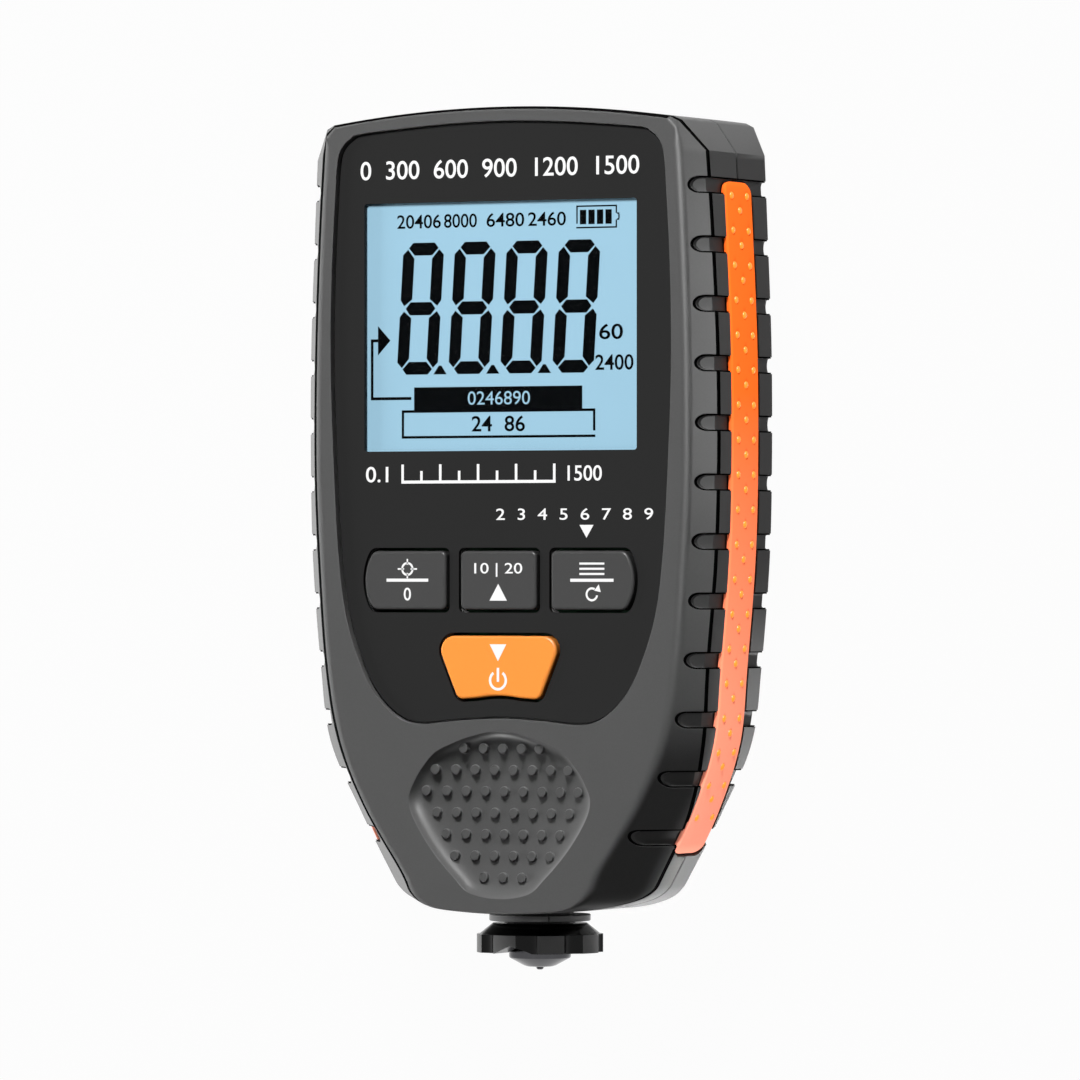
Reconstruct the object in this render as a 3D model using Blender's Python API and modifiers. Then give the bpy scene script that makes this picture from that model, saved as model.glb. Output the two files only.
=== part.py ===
"""Hand-held coating thickness gauge, lying on its back.

Metres. +Z points out of the display face, +Y towards the display end, and the probe is at -Y.
Run with: blender --background --python part.py
"""
import math

import bmesh
import bpy
from mathutils import Matrix, Vector

OBJECT_NAME = "coating_thickness_gauge"

# Clearance between neighbouring pieces, and the overshoot of a cutter past the surface it opens
FIT_GAP = 0.0003
LENS_GAP = 0.0002
CUT_MARGIN = 0.002

# Sides of round pieces
SMALL_SIDES = 8
ROD_SIDES = 12
BARREL_SIDES = 16
TURNED_SIDES = 24
GUARD_SIDES = 32
FLUTE_SIDES = 14

# Thickness, from the back of the housing to its face
DOOR_RECESS = 0.00025
DOOR_THICKNESS = 0.0018
CELL_PLAY = 0.0004
CELL_DIAMETER = 0.0105
BAY_ROOF = 0.0012
BOARD_THICKNESS = 0.00125
BACKLIGHT_THICKNESS = 0.0034
LCD_THICKNESS = 0.0022
PANEL_THICKNESS = 0.0005
PANEL_RECESS = 0.0007

DOOR_INNER_Z = DOOR_RECESS + DOOR_THICKNESS
LEDGE_Z = DOOR_INNER_Z + FIT_GAP
CELL_Z = DOOR_INNER_Z + CELL_PLAY + CELL_DIAMETER / 2
ROOF_Z = CELL_Z + CELL_DIAMETER / 2 + CELL_PLAY
BOARD_Z = ROOF_Z + BAY_ROOF + FIT_GAP
BOARD_TOP_Z = BOARD_Z + BOARD_THICKNESS
DECK_Z = BOARD_TOP_Z + FIT_GAP
LCD_Z = DECK_Z + BACKLIGHT_THICKNESS + FIT_GAP
LCD_TOP_Z = LCD_Z + LCD_THICKNESS
PANEL_Z = LCD_TOP_Z + FIT_GAP
PANEL_TOP_Z = PANEL_Z + PANEL_THICKNESS
FACE_Z = PANEL_TOP_Z + PANEL_RECESS
MID_Z = FACE_Z / 2

# Housing walls
SIDE_WALL = 0.0024
REAR_WALL = 0.0018
POCKET_WALL = 0.0012
FLOOR_INSET = 0.0023
SHOULDER_RISE = 0.00095
POST_REACH = 0.0005
POCKET_FLOOR_Z = PANEL_Z - FIT_GAP
CEILING_Z = POCKET_FLOOR_Z - POCKET_WALL
LIP_THICKNESS = 0.0006
LIP_HEIGHT = 0.0014
LIP_ROOT = 0.0025
LIP_SEAT = 0.00045

# Length of the face, from the display end to the nose
TOP_BAND = 0.00225
PANEL_HEAD = 0.01055
WINDOW_HEIGHT = 0.03395
SCALE_BAND = 0.0136
KEY_HEIGHT = 0.008
POWER_BAND = 0.00355
POWER_HEIGHT = 0.00865
PANEL_FOOT = 0.0031
DISH_BAND = 0.0012
DISH_LENGTH = 0.0228
NOSE_BAND = 0.0021
BODY_LENGTH = (TOP_BAND + PANEL_HEAD + WINDOW_HEIGHT + SCALE_BAND + KEY_HEIGHT + POWER_BAND
               + POWER_HEIGHT + PANEL_FOOT + DISH_BAND + DISH_LENGTH + NOSE_BAND)

# Probe, from the nose to its tip
NECK_LENGTH = 0.0009
GUARD_CONE = 0.0015
GUARD_SKIRT = 0.0025
TIP_REACH = 0.00245
PROBE_REACH = FIT_GAP + NECK_LENGTH + FIT_GAP + GUARD_CONE + GUARD_SKIRT + TIP_REACH

TOP_Y = (BODY_LENGTH + PROBE_REACH) / 2
NOSE_Y = TOP_Y - BODY_LENGTH
PANEL_TOP_Y = TOP_Y - TOP_BAND
WINDOW_TOP_Y = PANEL_TOP_Y - PANEL_HEAD
WINDOW_Y = WINDOW_TOP_Y - WINDOW_HEIGHT / 2
KEY_Y = WINDOW_TOP_Y - WINDOW_HEIGHT - SCALE_BAND - KEY_HEIGHT / 2
POWER_TOP_Y = KEY_Y - KEY_HEIGHT / 2 - POWER_BAND
POWER_Y = POWER_TOP_Y - POWER_HEIGHT / 2
PANEL_END_Y = POWER_TOP_Y - POWER_HEIGHT - PANEL_FOOT
DISH_TOP_Y = PANEL_END_Y - DISH_BAND

# Width of the face, from its middle to the widest point of the side
WINDOW_WIDTH = 0.0423
PANEL_SIDE = 0.00515
FACE_SIDE = 0.0023
SIDE_BEVEL = 0.0029
HALF_WIDTH = WINDOW_WIDTH / 2 + PANEL_SIDE + FACE_SIDE + SIDE_BEVEL

# Housing outline. Each station is (crease inset from the widest point, distance along Y,
# face edge inset, distance along Y, depth of the crease below the face). The crease is the
# sharp line between the slanted border and the side wall.
TOP_ARC_RADIUS = 0.179
TOP_EDGE_SETBACK = 0.00035
TOP_EDGE_DEPTH = 0.0006
TOP_ARC_END_INSET = 0.0055
TOP_ARC_STEPS = 3
CORNER_STATION = (0.0043, 0.00245, 0.0046, 0.00345, 0.0008)
DISPLAY_STATIONS = (
    (0.0014, 0.00655, 0.0043, 0.00585, 0.0032),
    (0.0008, 0.01685, 0.0036, 0.01685, 0.0035),
    (0.0001, 0.03285, 0.0030, 0.03285, 0.0037),
)
NOSE_STATIONS = (
    (0.0000, 0.0609, 0.0029, 0.0609, 0.0038),
    (0.0004, 0.0479, 0.0035, 0.0479, 0.0037),
    (0.0016, 0.0339, 0.0046, 0.0339, 0.0037),
    (0.0027, 0.0233, 0.0066, 0.0235, 0.0045),
    (0.0060, 0.0139, 0.0105, 0.0145, 0.0069),
    (0.0103, 0.0057, 0.0163, 0.0057, 0.0075),
    (0.0122, 0.0030, 0.0179, 0.0027, 0.0074),
    (0.0156, 0.0015, 0.0201, 0.0011, 0.0060),
    (0.0220, 0.0004, 0.0237, 0.0004, 0.0025),
)
NOSE_EDGE_SETBACK = 0.0001
NOSE_EDGE_DEPTH = 0.0008
SIDE_STEPS = 2
FACE_ROUNDING = 0.00055
MOST_ROUNDING = 0.45

# Grooves across the sides, and the soft strips in their channels
GROOVE_COUNT = 12
GROOVE_PITCH = 0.008
GROOVE_TOP_DROP = 0.01115
GROOVE_WIDTH = 0.0019
GROOVE_DEPTH = 0.0007
GROOVE_START = 0.0009
GRIP_TOP_DROP = 0.01045
GRIP_END_RISE = 0.0082
GRIP_BORDER = 0.00795
GRIP_CORNER = 0.0016
GRIP_SEAT = 0.0006
GRIP_PROUD = 0.0003
GRIP_EDGE = 0.0004
GRIP_HALF_HEIGHT = MID_Z - GRIP_BORDER

# Front panel. Stations are (inset from the widest point, distance along Y)
PANEL_TOP_STATIONS = ((0.0222, 0.0003), (0.0105, 0.0012))
PANEL_CORNER_STATIONS = ((0.0082, 0.0019), (0.0068, 0.0033), (0.0063, 0.0052), (0.0060, 0.0090))
PANEL_SIDE_STATIONS = ((0.0054, 0.0206), (0.0052, 0.0326), (0.0056, 0.0456))
PANEL_FOOT_STATIONS = ((0.0063, 0.0233), (0.0073, 0.0148), (0.0095, 0.0081), (0.0120, 0.0038),
                       (0.0155, 0.0009), (0.0190, 0.0), (0.0255, 0.0005))
PANEL_FOOT_MIDDLE = 0.0008
WINDOW_CORNER = 0.0004

# Keys
MIDDLE_KEY_WIDTH = 0.0117
KEY_SPACING = 0.00225
SIDE_KEY_WIDTH = 0.01265
SIDE_KEY_BULGE = 0.00135
KEY_CORNER = 0.0008
KEY_RAISE = 0.0006
KEY_EDGE = 0.0003
KEY_FLANGE = 0.0009
KEY_FLANGE_THICKNESS = 0.0012
KEY_FOOT_RADIUS = 0.0015
POWER_TOP_WIDTH = 0.0195
POWER_FOOT_WIDTH = 0.0124
POWER_TOP_CORNER = 0.002
POWER_FOOT_CORNER = 0.0012
POWER_FOOT_ARCH = 0.0005
POWER_ARCH_HALF_WIDTH = 0.0021

# Switches on the board
SWITCH_SIZE = 0.0052
SWITCH_HEIGHT = 0.0016
SWITCH_WELL_RADIUS = 0.0017
SWITCH_WELL_FLOOR = 0.0003
PLUNGER_RADIUS = 0.0013
PLUNGER_LENGTH = 0.0012
PLUNGER_PROUD = 0.0006

# Thumb dish. Points are (half width, distance below its top edge)
DISH_DEPTH = 0.0018
DISH_STATIONS = ((0.00846, 0.0022), (0.01167, 0.0048), (0.0135, 0.0077), (0.01397, 0.0096),
                 (0.0134, 0.0117), (0.0117, 0.0146), (0.0096, 0.0173), (0.0070, 0.0200),
                 (0.0045, 0.0221))
DISH_CENTRE_DROP = 0.0103
DISH_PROFILE = ((1.0, 0.0), (0.94, 0.38), (0.84, 0.66), (0.66, 0.86), (0.4, 1.0))
DISH_STEPS = 2
DOT_ROWS = (5, 8, 9, 8, 7, 6, 3)
DOT_PITCH = 0.00292
DOT_TOP_DROP = 0.0024
DOT_RADIUS = 0.0007
DOT_HEIGHT = 0.00045
DOT_ROOT = 0.0004
DOT_SIDES = 6

# Display parts on the board
LCD_OVERLAP = 0.0013
FRAME_WALL = 0.001
FRAME_LID_GAP = 0.0003
ZEBRA_DEPTH = 0.0017
ZEBRA_INSET = 0.0015
BACKLIGHT_INSET = 0.0008

# Board
BOARD_TAPER = 0.00225
BOARD_TOP_DROP = 0.0103
BOARD_FOOT = 0.0053
BOARD_TAPER_RISE = 0.006
CHIP_SIZE = 0.01
CHIP_HEIGHT = 0.0014
CHIP_INSET = 0.01275
CHIP_SPACING = 0.0013
BUZZER_RADIUS = 0.006
BUZZER_HEIGHT = 0.004
BUZZER_PORT_RADIUS = 0.001
BUZZER_PORT_DEPTH = 0.002
BUZZER_INSET = 0.01275
BUZZER_DROP = 0.0155

# Screws
CASE_HEAD_RADIUS = 0.0023
CASE_HEAD_HEIGHT = 0.0016
CASE_HEAD_Z = 0.003
CASE_SHANK_RADIUS = 0.0011
CASE_THREAD_LENGTH = 0.0055
CASE_BOSS_RADIUS = 0.0035
CASE_POST_RADIUS = 0.0024
CASE_JOINT_DROP = 0.0008
BOARD_HEAD_RADIUS = 0.0017
BOARD_HEAD_HEIGHT = 0.0011
BOARD_SHANK_RADIUS = 0.0008
BOARD_THREAD_LENGTH = 0.003
BOARD_POST_RADIUS = 0.0019
DRIVE_WIDTH = 0.0006
DRIVE_LENGTH = 0.0024
DRIVE_DEPTH = 0.0008
UPPER_BOSS_INSET = 0.0083
UPPER_BOSS_DROP = 0.0076
LOWER_BOSS_RISE = 0.0194
BOSS_SPACING = 0.0011
UPPER_BOARD_SCREW_INSET = 0.00325
UPPER_BOARD_SCREW_RISE = 0.0061
LOWER_BOARD_SCREW_RISE = 0.0035

# Battery bay and its door
CELL_LENGTH = 0.0445
CELL_NUB_LENGTH = 0.001
CELL_NUB_RADIUS = 0.0019
CELL_EDGE = 0.0004
CELL_SPACING = 0.0003
CELL_SPRING_LENGTH = 0.0044
CELL_SPRING_RADIUS = 0.0034
CELL_SPRING_WIRE = 0.0003
CELL_SPRING_TURNS = 3
CONTACT_THICKNESS = 0.0004
CONTACT_WIDTH = 0.0085
CONTACT_HEIGHT = 0.008
SLEEVE_DEPTH = 0.0107
BAY_SPACING = 0.0012
BAY_END_WALL = 0.0024
DOOR_LAND = 0.00135
BAY_SIDE_WALL = 0.002
DOOR_END_WALL = 0.0008
DOOR_PIN_RADIUS = 0.0006
DOOR_PIN_LENGTH = 0.0012
DOOR_NOTCH_RADIUS = 0.004
DOOR_NOTCH_DEPTH = 0.0009
DOOR_RIB_COUNT = 4
DOOR_RIB_PITCH = 0.0018
DOOR_RIB_WIDTH = 0.0008
DOOR_RIB_CORNER = 0.00039
DOOR_RIB_LENGTH = 0.011
DOOR_RIB_CUT = 0.0004
DOOR_RIB_DROP = 0.0035

# Probe
PROBE_X = 0.0
NECK_RADIUS = 0.00695
SLEEVE_RADIUS = 0.0046
SLEEVE_BORE = 0.0037
SLEEVE_BARREL = 0.0054
SLEEVE_FLANGE = 0.0062
SLEEVE_FLANGE_LENGTH = 0.0017
SLEEVE_END_WALL = 0.001
SLEEVE_OVERLAP = 0.0008
GUARD_TOP_RADIUS = 0.00645
GUARD_CONE_RADIUS = 0.00825
GUARD_RADIUS = 0.00865
GUARD_FLUTES = 8
FLUTE_RADIUS = 0.0023
FLUTE_DEPTH = 0.0007
NOTCH_WIDTH = 0.0055
NOTCH_DEPTH = 0.0011
TIP_HEAD_RADIUS = 0.00425
TIP_HEAD_LENGTH = 0.0012
TIP_STEM_RADIUS = 0.0034
TIP_BORE = 0.0029
TIP_CONE_RADIUS = 0.0017
TIP_NUB_RADIUS = 0.0005
TIP_NUB_LENGTH = 0.00045
TIP_NUB_FILLET = 0.00009
TIP_NUB_EDGE = 0.0002
TIP_SPIGOT = 0.0008
TIP_FLOOR = 0.0006
COIL_WIRE_GAP = 0.0004
COIL_LENGTH = 0.007
CORE_RADIUS = 0.0009
CORE_GROWTH = 0.0006
PROBE_SPRING_LENGTH = 0.0042
PROBE_SPRING_WIRE = 0.0002
PROBE_SPRING_TURNS = 3
CRADLE_THICKNESS = 0.0012
CRADLE_WIDTH = 0.018
CRADLE_SET = 0.0048
CABLE_RADIUS = 0.0008
CABLE_RISE = 0.0012
CABLE_CREST = 0.0017
CABLE_CREST_ACROSS = 0.35
CABLE_CREST_ALONG = 0.5
CABLE_STEPS = 3
PLUG_SIZE = (0.005, 0.0032, 0.0026)
SOCKET_SIZE = (0.006, 0.0035, 0.003)
SOCKET_X = -0.008
SOCKET_RISE = 0.0006

# Positions that follow from the sizes above
LOWER_SLEEVE_Y = NOSE_Y + SLEEVE_DEPTH
BAY_END_Y = LOWER_SLEEVE_Y + BAY_SPACING + BAY_END_WALL
BAY_LENGTH = CELL_LENGTH + CELL_SPRING_LENGTH + 2 * CONTACT_THICKNESS + 5 * FIT_GAP
BAY_TOP_Y = BAY_END_Y + BAY_LENGTH
BAY_HALF_WIDTH = CELL_DIAMETER + CELL_SPACING / 2 + CELL_PLAY
DOOR_HALF_WIDTH = BAY_HALF_WIDTH + DOOR_LAND
DOOR_END_Y = BAY_END_Y - DOOR_LAND
DOOR_TOP_Y = BAY_TOP_Y + DOOR_LAND
HINGE_Y = DOOR_END_Y + DOOR_THICKNESS / 2
HINGE_Z = DOOR_RECESS + DOOR_THICKNESS / 2
BLOCK_HALF_WIDTH = DOOR_HALF_WIDTH + FIT_GAP + BAY_SIDE_WALL
BLOCK_TOP_Y = DOOR_TOP_Y + FIT_GAP + BAY_SIDE_WALL
CELL_X = CELL_SPACING / 2 + CELL_DIAMETER / 2
BOARD_HALF_WIDTH = WINDOW_WIDTH / 2 + LCD_OVERLAP + FIT_GAP + FRAME_WALL
BOARD_TOP_Y = TOP_Y - BOARD_TOP_DROP
BOARD_END_Y = PANEL_END_Y + PANEL_FOOT - BOARD_FOOT
RING_TOP_Y = NOSE_Y - FIT_GAP
GUARD_TOP_Y = RING_TOP_Y - NECK_LENGTH - FIT_GAP
SKIRT_TOP_Y = GUARD_TOP_Y - GUARD_CONE
GUARD_END_Y = SKIRT_TOP_Y - GUARD_SKIRT
TIP_Y = GUARD_END_Y - TIP_REACH
CASE_SCREWS = (
    (HALF_WIDTH - UPPER_BOSS_INSET, TOP_Y - UPPER_BOSS_DROP),
    (BLOCK_HALF_WIDTH + BOSS_SPACING + CASE_BOSS_RADIUS, NOSE_Y + LOWER_BOSS_RISE),
)
BOARD_SCREWS = (
    (BOARD_HALF_WIDTH - UPPER_BOARD_SCREW_INSET, KEY_Y + KEY_HEIGHT / 2 + UPPER_BOARD_SCREW_RISE),
    (BLOCK_HALF_WIDTH + BOSS_SPACING + BOARD_POST_RADIUS, BOARD_END_Y + LOWER_BOARD_SCREW_RISE),
)


# Scene, materials and small helpers

def clear_scene():
    for item in list(bpy.data.objects):
        bpy.data.objects.remove(item, do_unlink=True)


def make_collection(name):
    collection = bpy.data.collections.new(name)
    bpy.context.scene.collection.children.link(collection)
    return collection


clear_scene()
PARTS = make_collection(OBJECT_NAME)
CUTTERS = make_collection("cutters")


def make_material(name, colour, roughness, metallic=0.0):
    material = bpy.data.materials.new(name)
    material.use_nodes = True
    shader = material.node_tree.nodes["Principled BSDF"]
    shader.inputs["Base Color"].default_value = (*colour, 1.0)
    shader.inputs["Roughness"].default_value = roughness
    shader.inputs["Metallic"].default_value = metallic
    return material


SHELL_GREY = make_material("shell_grey", (0.115, 0.115, 0.115), 0.55)
GRIP_ORANGE = make_material("grip_orange", (0.95, 0.2, 0.03), 0.5)
PANEL_BLACK = make_material("panel_black", (0.03, 0.03, 0.03), 0.4)
KEY_GREY = make_material("key_grey", (0.07, 0.07, 0.07), 0.45)
KEY_ORANGE = make_material("key_orange", (0.95, 0.36, 0.06), 0.4)
LENS_CLEAR = make_material("lens_clear", (0.85, 0.9, 0.92), 0.05)
LCD_BLUE = make_material("lcd_blue", (0.34, 0.57, 0.72), 0.3)
WHITE_PLASTIC = make_material("white_plastic", (0.8, 0.8, 0.78), 0.5)
BLACK_PLASTIC = make_material("black_plastic", (0.012, 0.012, 0.012), 0.2)
BOARD_GREEN = make_material("board_green", (0.02, 0.13, 0.05), 0.45)
STEEL = make_material("steel", (0.6, 0.6, 0.6), 0.3, 1.0)
CHROME = make_material("chrome", (0.75, 0.75, 0.76), 0.08, 1.0)
COPPER = make_material("copper", (0.72, 0.35, 0.2), 0.35, 1.0)
CELL_JACKET = make_material("cell_jacket", (0.06, 0.12, 0.3), 0.35)
RUBBER_BLACK = make_material("rubber_black", (0.02, 0.02, 0.02), 0.7)


def add_object(name, mesh, collection, material=None):
    item = bpy.data.objects.new(name, mesh)
    collection.objects.link(item)
    if material:
        mesh.materials.append(material)
    if collection == CUTTERS:
        item.hide_render = True
        item.display_type = "WIRE"
    return item


def finish_mesh(name, bm):
    bmesh.ops.recalc_face_normals(bm, faces=bm.faces)
    mesh = bpy.data.meshes.new(name)
    bm.to_mesh(mesh)
    bm.free()
    mesh.shade_smooth()
    mesh.set_sharp_from_angle(angle=math.radians(32))
    return mesh


def set_origin(item, point):
    """Moves the object's origin to a point without moving its mesh."""
    shift = Vector(point)
    item.data.transform(Matrix.Translation(-shift))
    item.location = item.location + shift


def boolean(item, operation, *tools):
    for tool in tools:
        modifier = item.modifiers.new(operation.lower(), "BOOLEAN")
        modifier.operation = operation
        modifier.solver = "EXACT"
        modifier.object = tool


def cut(item, *tools):
    boolean(item, "DIFFERENCE", *tools)


def join(item, *tools):
    boolean(item, "UNION", *tools)


# Outlines in the XY plane, as lists of (x, y)

def smooth_curve(points, steps, before=None, after=None):
    """Catmull-Rom curve through points of any dimension, with optional guides past its ends."""
    first = before or points[0]
    last = after or points[-1]
    guides = [first, *points, last]
    curve = [tuple(points[0])]
    for a, b, c, d in zip(guides, guides[1:], guides[2:], guides[3:]):
        for step in range(1, steps + 1):
            t = step / steps
            curve.append(tuple(
                0.5 * (2 * q + (r - p) * t + (2 * p - 5 * q + 4 * r - s) * t ** 2
                       + (3 * q - p - 3 * r + s) * t ** 3)
                for p, q, r, s in zip(a, b, c, d)))
    return curve


def mirrored(half):
    """Closes a right half, which runs from the top middle to the bottom middle."""
    return list(half) + [(-x, y) for x, y in half[-2:0:-1]]


def edge_normals(outline):
    """Outward normals of a closed outline that runs clockwise seen from +Z."""
    normals = []
    for a, b in zip(outline, outline[1:] + outline[:1]):
        along = Vector(b) - Vector(a)
        normals.append(Vector((-along.y, along.x)).normalized())
    return normals


def offset_outline(outline, distances):
    """Moves each point outwards by its distance, measured square to the two edges there."""
    normals = edge_normals(outline)
    moved = []
    for i, point in enumerate(outline):
        mitre = (normals[i - 1] + normals[i]).normalized()
        shift = mitre * (distances[i] / max(0.5, mitre.dot(normals[i])))
        moved.append((point[0] + shift.x, point[1] + shift.y))
    return moved


def grow(outline, distance):
    return offset_outline(outline, [distance] * len(outline))


def arc(centre, radius, start, end, steps):
    """Points of an arc, angles in degrees."""
    points = []
    for step in range(steps + 1):
        angle = math.radians(start + (end - start) * step / steps)
        points.append((centre[0] + radius * math.cos(angle), centre[1] + radius * math.sin(angle)))
    return points


def circle(centre, radius, sides):
    return arc(centre, radius, 0, -360 + 360 / sides, sides - 1)


def rounded(corners, steps=4):
    """Polygon of (x, y, radius) corners, clockwise, with each corner rounded."""
    outline = []
    for i, (x, y, radius) in enumerate(corners):
        here = Vector((x, y))
        to_last = (Vector(corners[i - 1][:2]) - here).normalized()
        to_next = (Vector(corners[(i + 1) % len(corners)][:2]) - here).normalized()
        if radius == 0:
            outline.append((x, y))
            continue
        half_angle = to_last.angle(to_next) / 2
        centre = here + (to_last + to_next).normalized() * radius / math.sin(half_angle)
        start = here + to_last * radius / math.tan(half_angle) - centre
        sweep = math.pi - 2 * half_angle
        for step in range(steps + 1):
            turn = Matrix.Rotation(-sweep * step / steps, 2)
            outline.append(tuple(centre + turn @ start))
    return outline


def rectangle(x, y, width, height, radius=0.0, steps=2):
    right, top = width / 2, height / 2
    corners = [(x + right, y + top, radius), (x + right, y - top, radius),
               (x - right, y - top, radius), (x - right, y + top, radius)]
    return rounded(corners, steps)


# Solids

def plate(name, outlines, low, high, collection, material=None):
    """Flat piece between two heights. Outlines inside others are holes."""
    curve = bpy.data.curves.new(name, "CURVE")
    curve.dimensions = "2D"
    curve.fill_mode = "BOTH"
    curve.extrude = (high - low) / 2
    for outline in outlines:
        spline = curve.splines.new("POLY")
        spline.points.add(len(outline) - 1)
        for point, (x, y) in zip(spline.points, outline):
            point.co = (x, y, 0.0, 1.0)
        spline.use_cyclic_u = True
    return curve_solid(name, curve, (0, 0, (low + high) / 2), collection, material)


def curve_solid(name, curve, location, collection, material=None):
    source = bpy.data.objects.new(name + "_curve", curve)
    source.location = location
    bpy.context.scene.collection.objects.link(source)
    bpy.context.view_layer.update()
    depsgraph = bpy.context.evaluated_depsgraph_get()
    mesh = bpy.data.meshes.new_from_object(source.evaluated_get(depsgraph))
    mesh.transform(source.matrix_world)
    bpy.data.objects.remove(source, do_unlink=True)
    bm = bmesh.new()
    bm.from_mesh(mesh)
    bpy.data.meshes.remove(mesh)
    bmesh.ops.remove_doubles(bm, verts=bm.verts, dist=1e-7)
    mesh = finish_mesh(name, bm)
    return add_object(name, mesh, collection, material)


def wire(name, points, radius, collection, material=None, resolution=2):
    """Round wire along a list of points."""
    curve = bpy.data.curves.new(name, "CURVE")
    curve.dimensions = "3D"
    curve.bevel_depth = radius
    curve.bevel_resolution = resolution
    curve.use_fill_caps = True
    spline = curve.splines.new("POLY")
    spline.points.add(len(points) - 1)
    for point, place in zip(spline.points, points):
        point.co = (*place, 1.0)
    return curve_solid(name, curve, (0, 0, 0), collection, material)


def loft(name, rings, collection, material=None):
    """Closed solid through rings with equal numbers of points."""
    bm = bmesh.new()
    loops = [[bm.verts.new(point) for point in ring] for ring in rings]
    count = len(rings[0])
    for lower, upper in zip(loops, loops[1:]):
        for i in range(count):
            j = (i + 1) % count
            bm.faces.new((lower[i], lower[j], upper[j], upper[i]))
    bm.faces.new(loops[0])
    bm.faces.new(reversed(loops[-1]))
    return add_object(name, finish_mesh(name, bm), collection, material)


def level(outline, z):
    """Puts an outline at a height, or at one height for each of its points."""
    heights = z if isinstance(z, list) else [z] * len(outline)
    return [Vector((x, y, height)) for (x, y), height in zip(outline, heights)]


def block(name, low, high, collection, material=None):
    """Box between two corners."""
    bm = bmesh.new()
    bmesh.ops.create_cube(bm, size=1.0)
    size = [b - a for a, b in zip(low, high)]
    middle = [(a + b) / 2 for a, b in zip(low, high)]
    bmesh.ops.scale(bm, vec=size, verts=bm.verts)
    bmesh.ops.translate(bm, vec=middle, verts=bm.verts)
    return add_object(name, finish_mesh(name, bm), collection, material)


def rods(name, places, radius, low, high, collection, material=None, sides=ROD_SIDES):
    """Upright cylinders at (x, y) places, in one mesh."""
    bm = bmesh.new()
    for x, y in places:
        middle = Matrix.Translation((x, y, (low + high) / 2))
        bmesh.ops.create_cone(bm, cap_ends=True, segments=sides, radius1=radius, radius2=radius,
                              depth=high - low, matrix=middle)
    return add_object(name, finish_mesh(name, bm), collection, material)


def turned(name, profile, closed, collection, material=None, sides=TURNED_SIDES, axis="Z", bore=()):
    """Turned piece from (radius, height) points, round its own axis.

    The outer side of the profile runs from the top down. A closed profile is a ring's section.
    A bore runs from its floor at the axis to where the profile starts.
    """
    mesh = bpy.data.meshes.new(name)
    points = [(radius, 0.0, height) for radius, height in [*profile, *bore]]
    edges = [(i, i + 1) for i in range(len(points) - 1) if i + 1 != len(profile)]
    if closed or bore:
        edges.append((len(points) - 1, 0))
    mesh.from_pydata(points, edges, [])
    item = add_object(name, mesh, collection, material)
    screw = item.modifiers.new("turn", "SCREW")
    screw.axis = "Z"
    screw.steps = sides
    screw.render_steps = sides
    screw.use_merge_vertices = True
    screw.merge_threshold = 0.00001
    screw.use_smooth_shade = True
    if axis == "Y":
        item.rotation_euler = (-math.pi / 2, 0.0, 0.0)
    return item


def both_sides(places):
    return [(sign * x, y) for sign in (1, -1) for x, y in places]


# Housing form

def side_stations():
    """Right-hand stations below the corner facet: (crease x, y, face x, y, crease depth)."""
    stations = []
    for crease, drop, face, face_drop, depth in DISPLAY_STATIONS:
        stations.append((HALF_WIDTH - crease, TOP_Y - drop, HALF_WIDTH - face, TOP_Y - face_drop, depth))
    for crease, rise, face, face_rise, depth in NOSE_STATIONS:
        stations.append((HALF_WIDTH - crease, NOSE_Y + rise, HALF_WIDTH - face, NOSE_Y + face_rise, depth))
    stations.append((0.0, NOSE_Y, 0.0, NOSE_Y + NOSE_EDGE_SETBACK, NOSE_EDGE_DEPTH))
    return stations


def housing_samples(side_steps):
    """The whole outline, clockwise from the top middle: crease, face edge and crease depth."""
    arc_end = HALF_WIDTH - TOP_ARC_END_INSET
    right = []
    for step in range(TOP_ARC_STEPS + 1):
        x = arc_end * step / TOP_ARC_STEPS
        y = TOP_Y - x ** 2 / (2 * TOP_ARC_RADIUS)
        right.append((x, y, x * (1 - TOP_EDGE_SETBACK / arc_end), y - TOP_EDGE_SETBACK, TOP_EDGE_DEPTH))
    crease, drop, face, face_drop, depth = CORNER_STATION
    right.append((HALF_WIDTH - crease, TOP_Y - drop, HALF_WIDTH - face, TOP_Y - face_drop, depth))
    stations = side_stations()
    opposite = stations[-2]
    beyond = (-opposite[0], opposite[1], -opposite[2], opposite[3], opposite[4])
    right += smooth_curve(stations, side_steps, after=beyond)
    left = [(-a, b, -c, d, e) for a, b, c, d, e in right[-2:0:-1]]
    return right + left


def split_samples(samples):
    crease = [(a, b) for a, b, c, d, e in samples]
    face_edge = [(c, d) for a, b, c, d, e in samples]
    depth = [e for a, b, c, d, e in samples]
    return crease, face_edge, depth


SAMPLES = housing_samples(SIDE_STEPS)
CREASE, FACE_EDGE, CREASE_DEPTH = split_samples(SAMPLES)
INNER_CREASE, INNER_FACE_EDGE, INNER_DEPTH = split_samples(housing_samples(1))
BEVEL_RUN = [(Vector(a) - Vector(b)).length for a, b in zip(CREASE, FACE_EDGE)]
BEVEL_SLOPE = [math.hypot(run, depth) for run, depth in zip(BEVEL_RUN, CREASE_DEPTH)]
RIGHT_COUNT = len(SAMPLES) // 2 + 1


def between(first, second, shares):
    return [(a[0] + (b[0] - a[0]) * t, a[1] + (b[1] - a[1]) * t) for a, b, t in zip(first, second, shares)]


def stacked(rear_rings):
    """Adds the face's rings to the back's, by mirroring them about mid-thickness."""
    front_rings = []
    for ring in reversed(rear_rings):
        front_rings.append([Vector((p.x, p.y, FACE_Z - p.z)) for p in ring])
    return rear_rings + front_rings


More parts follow.
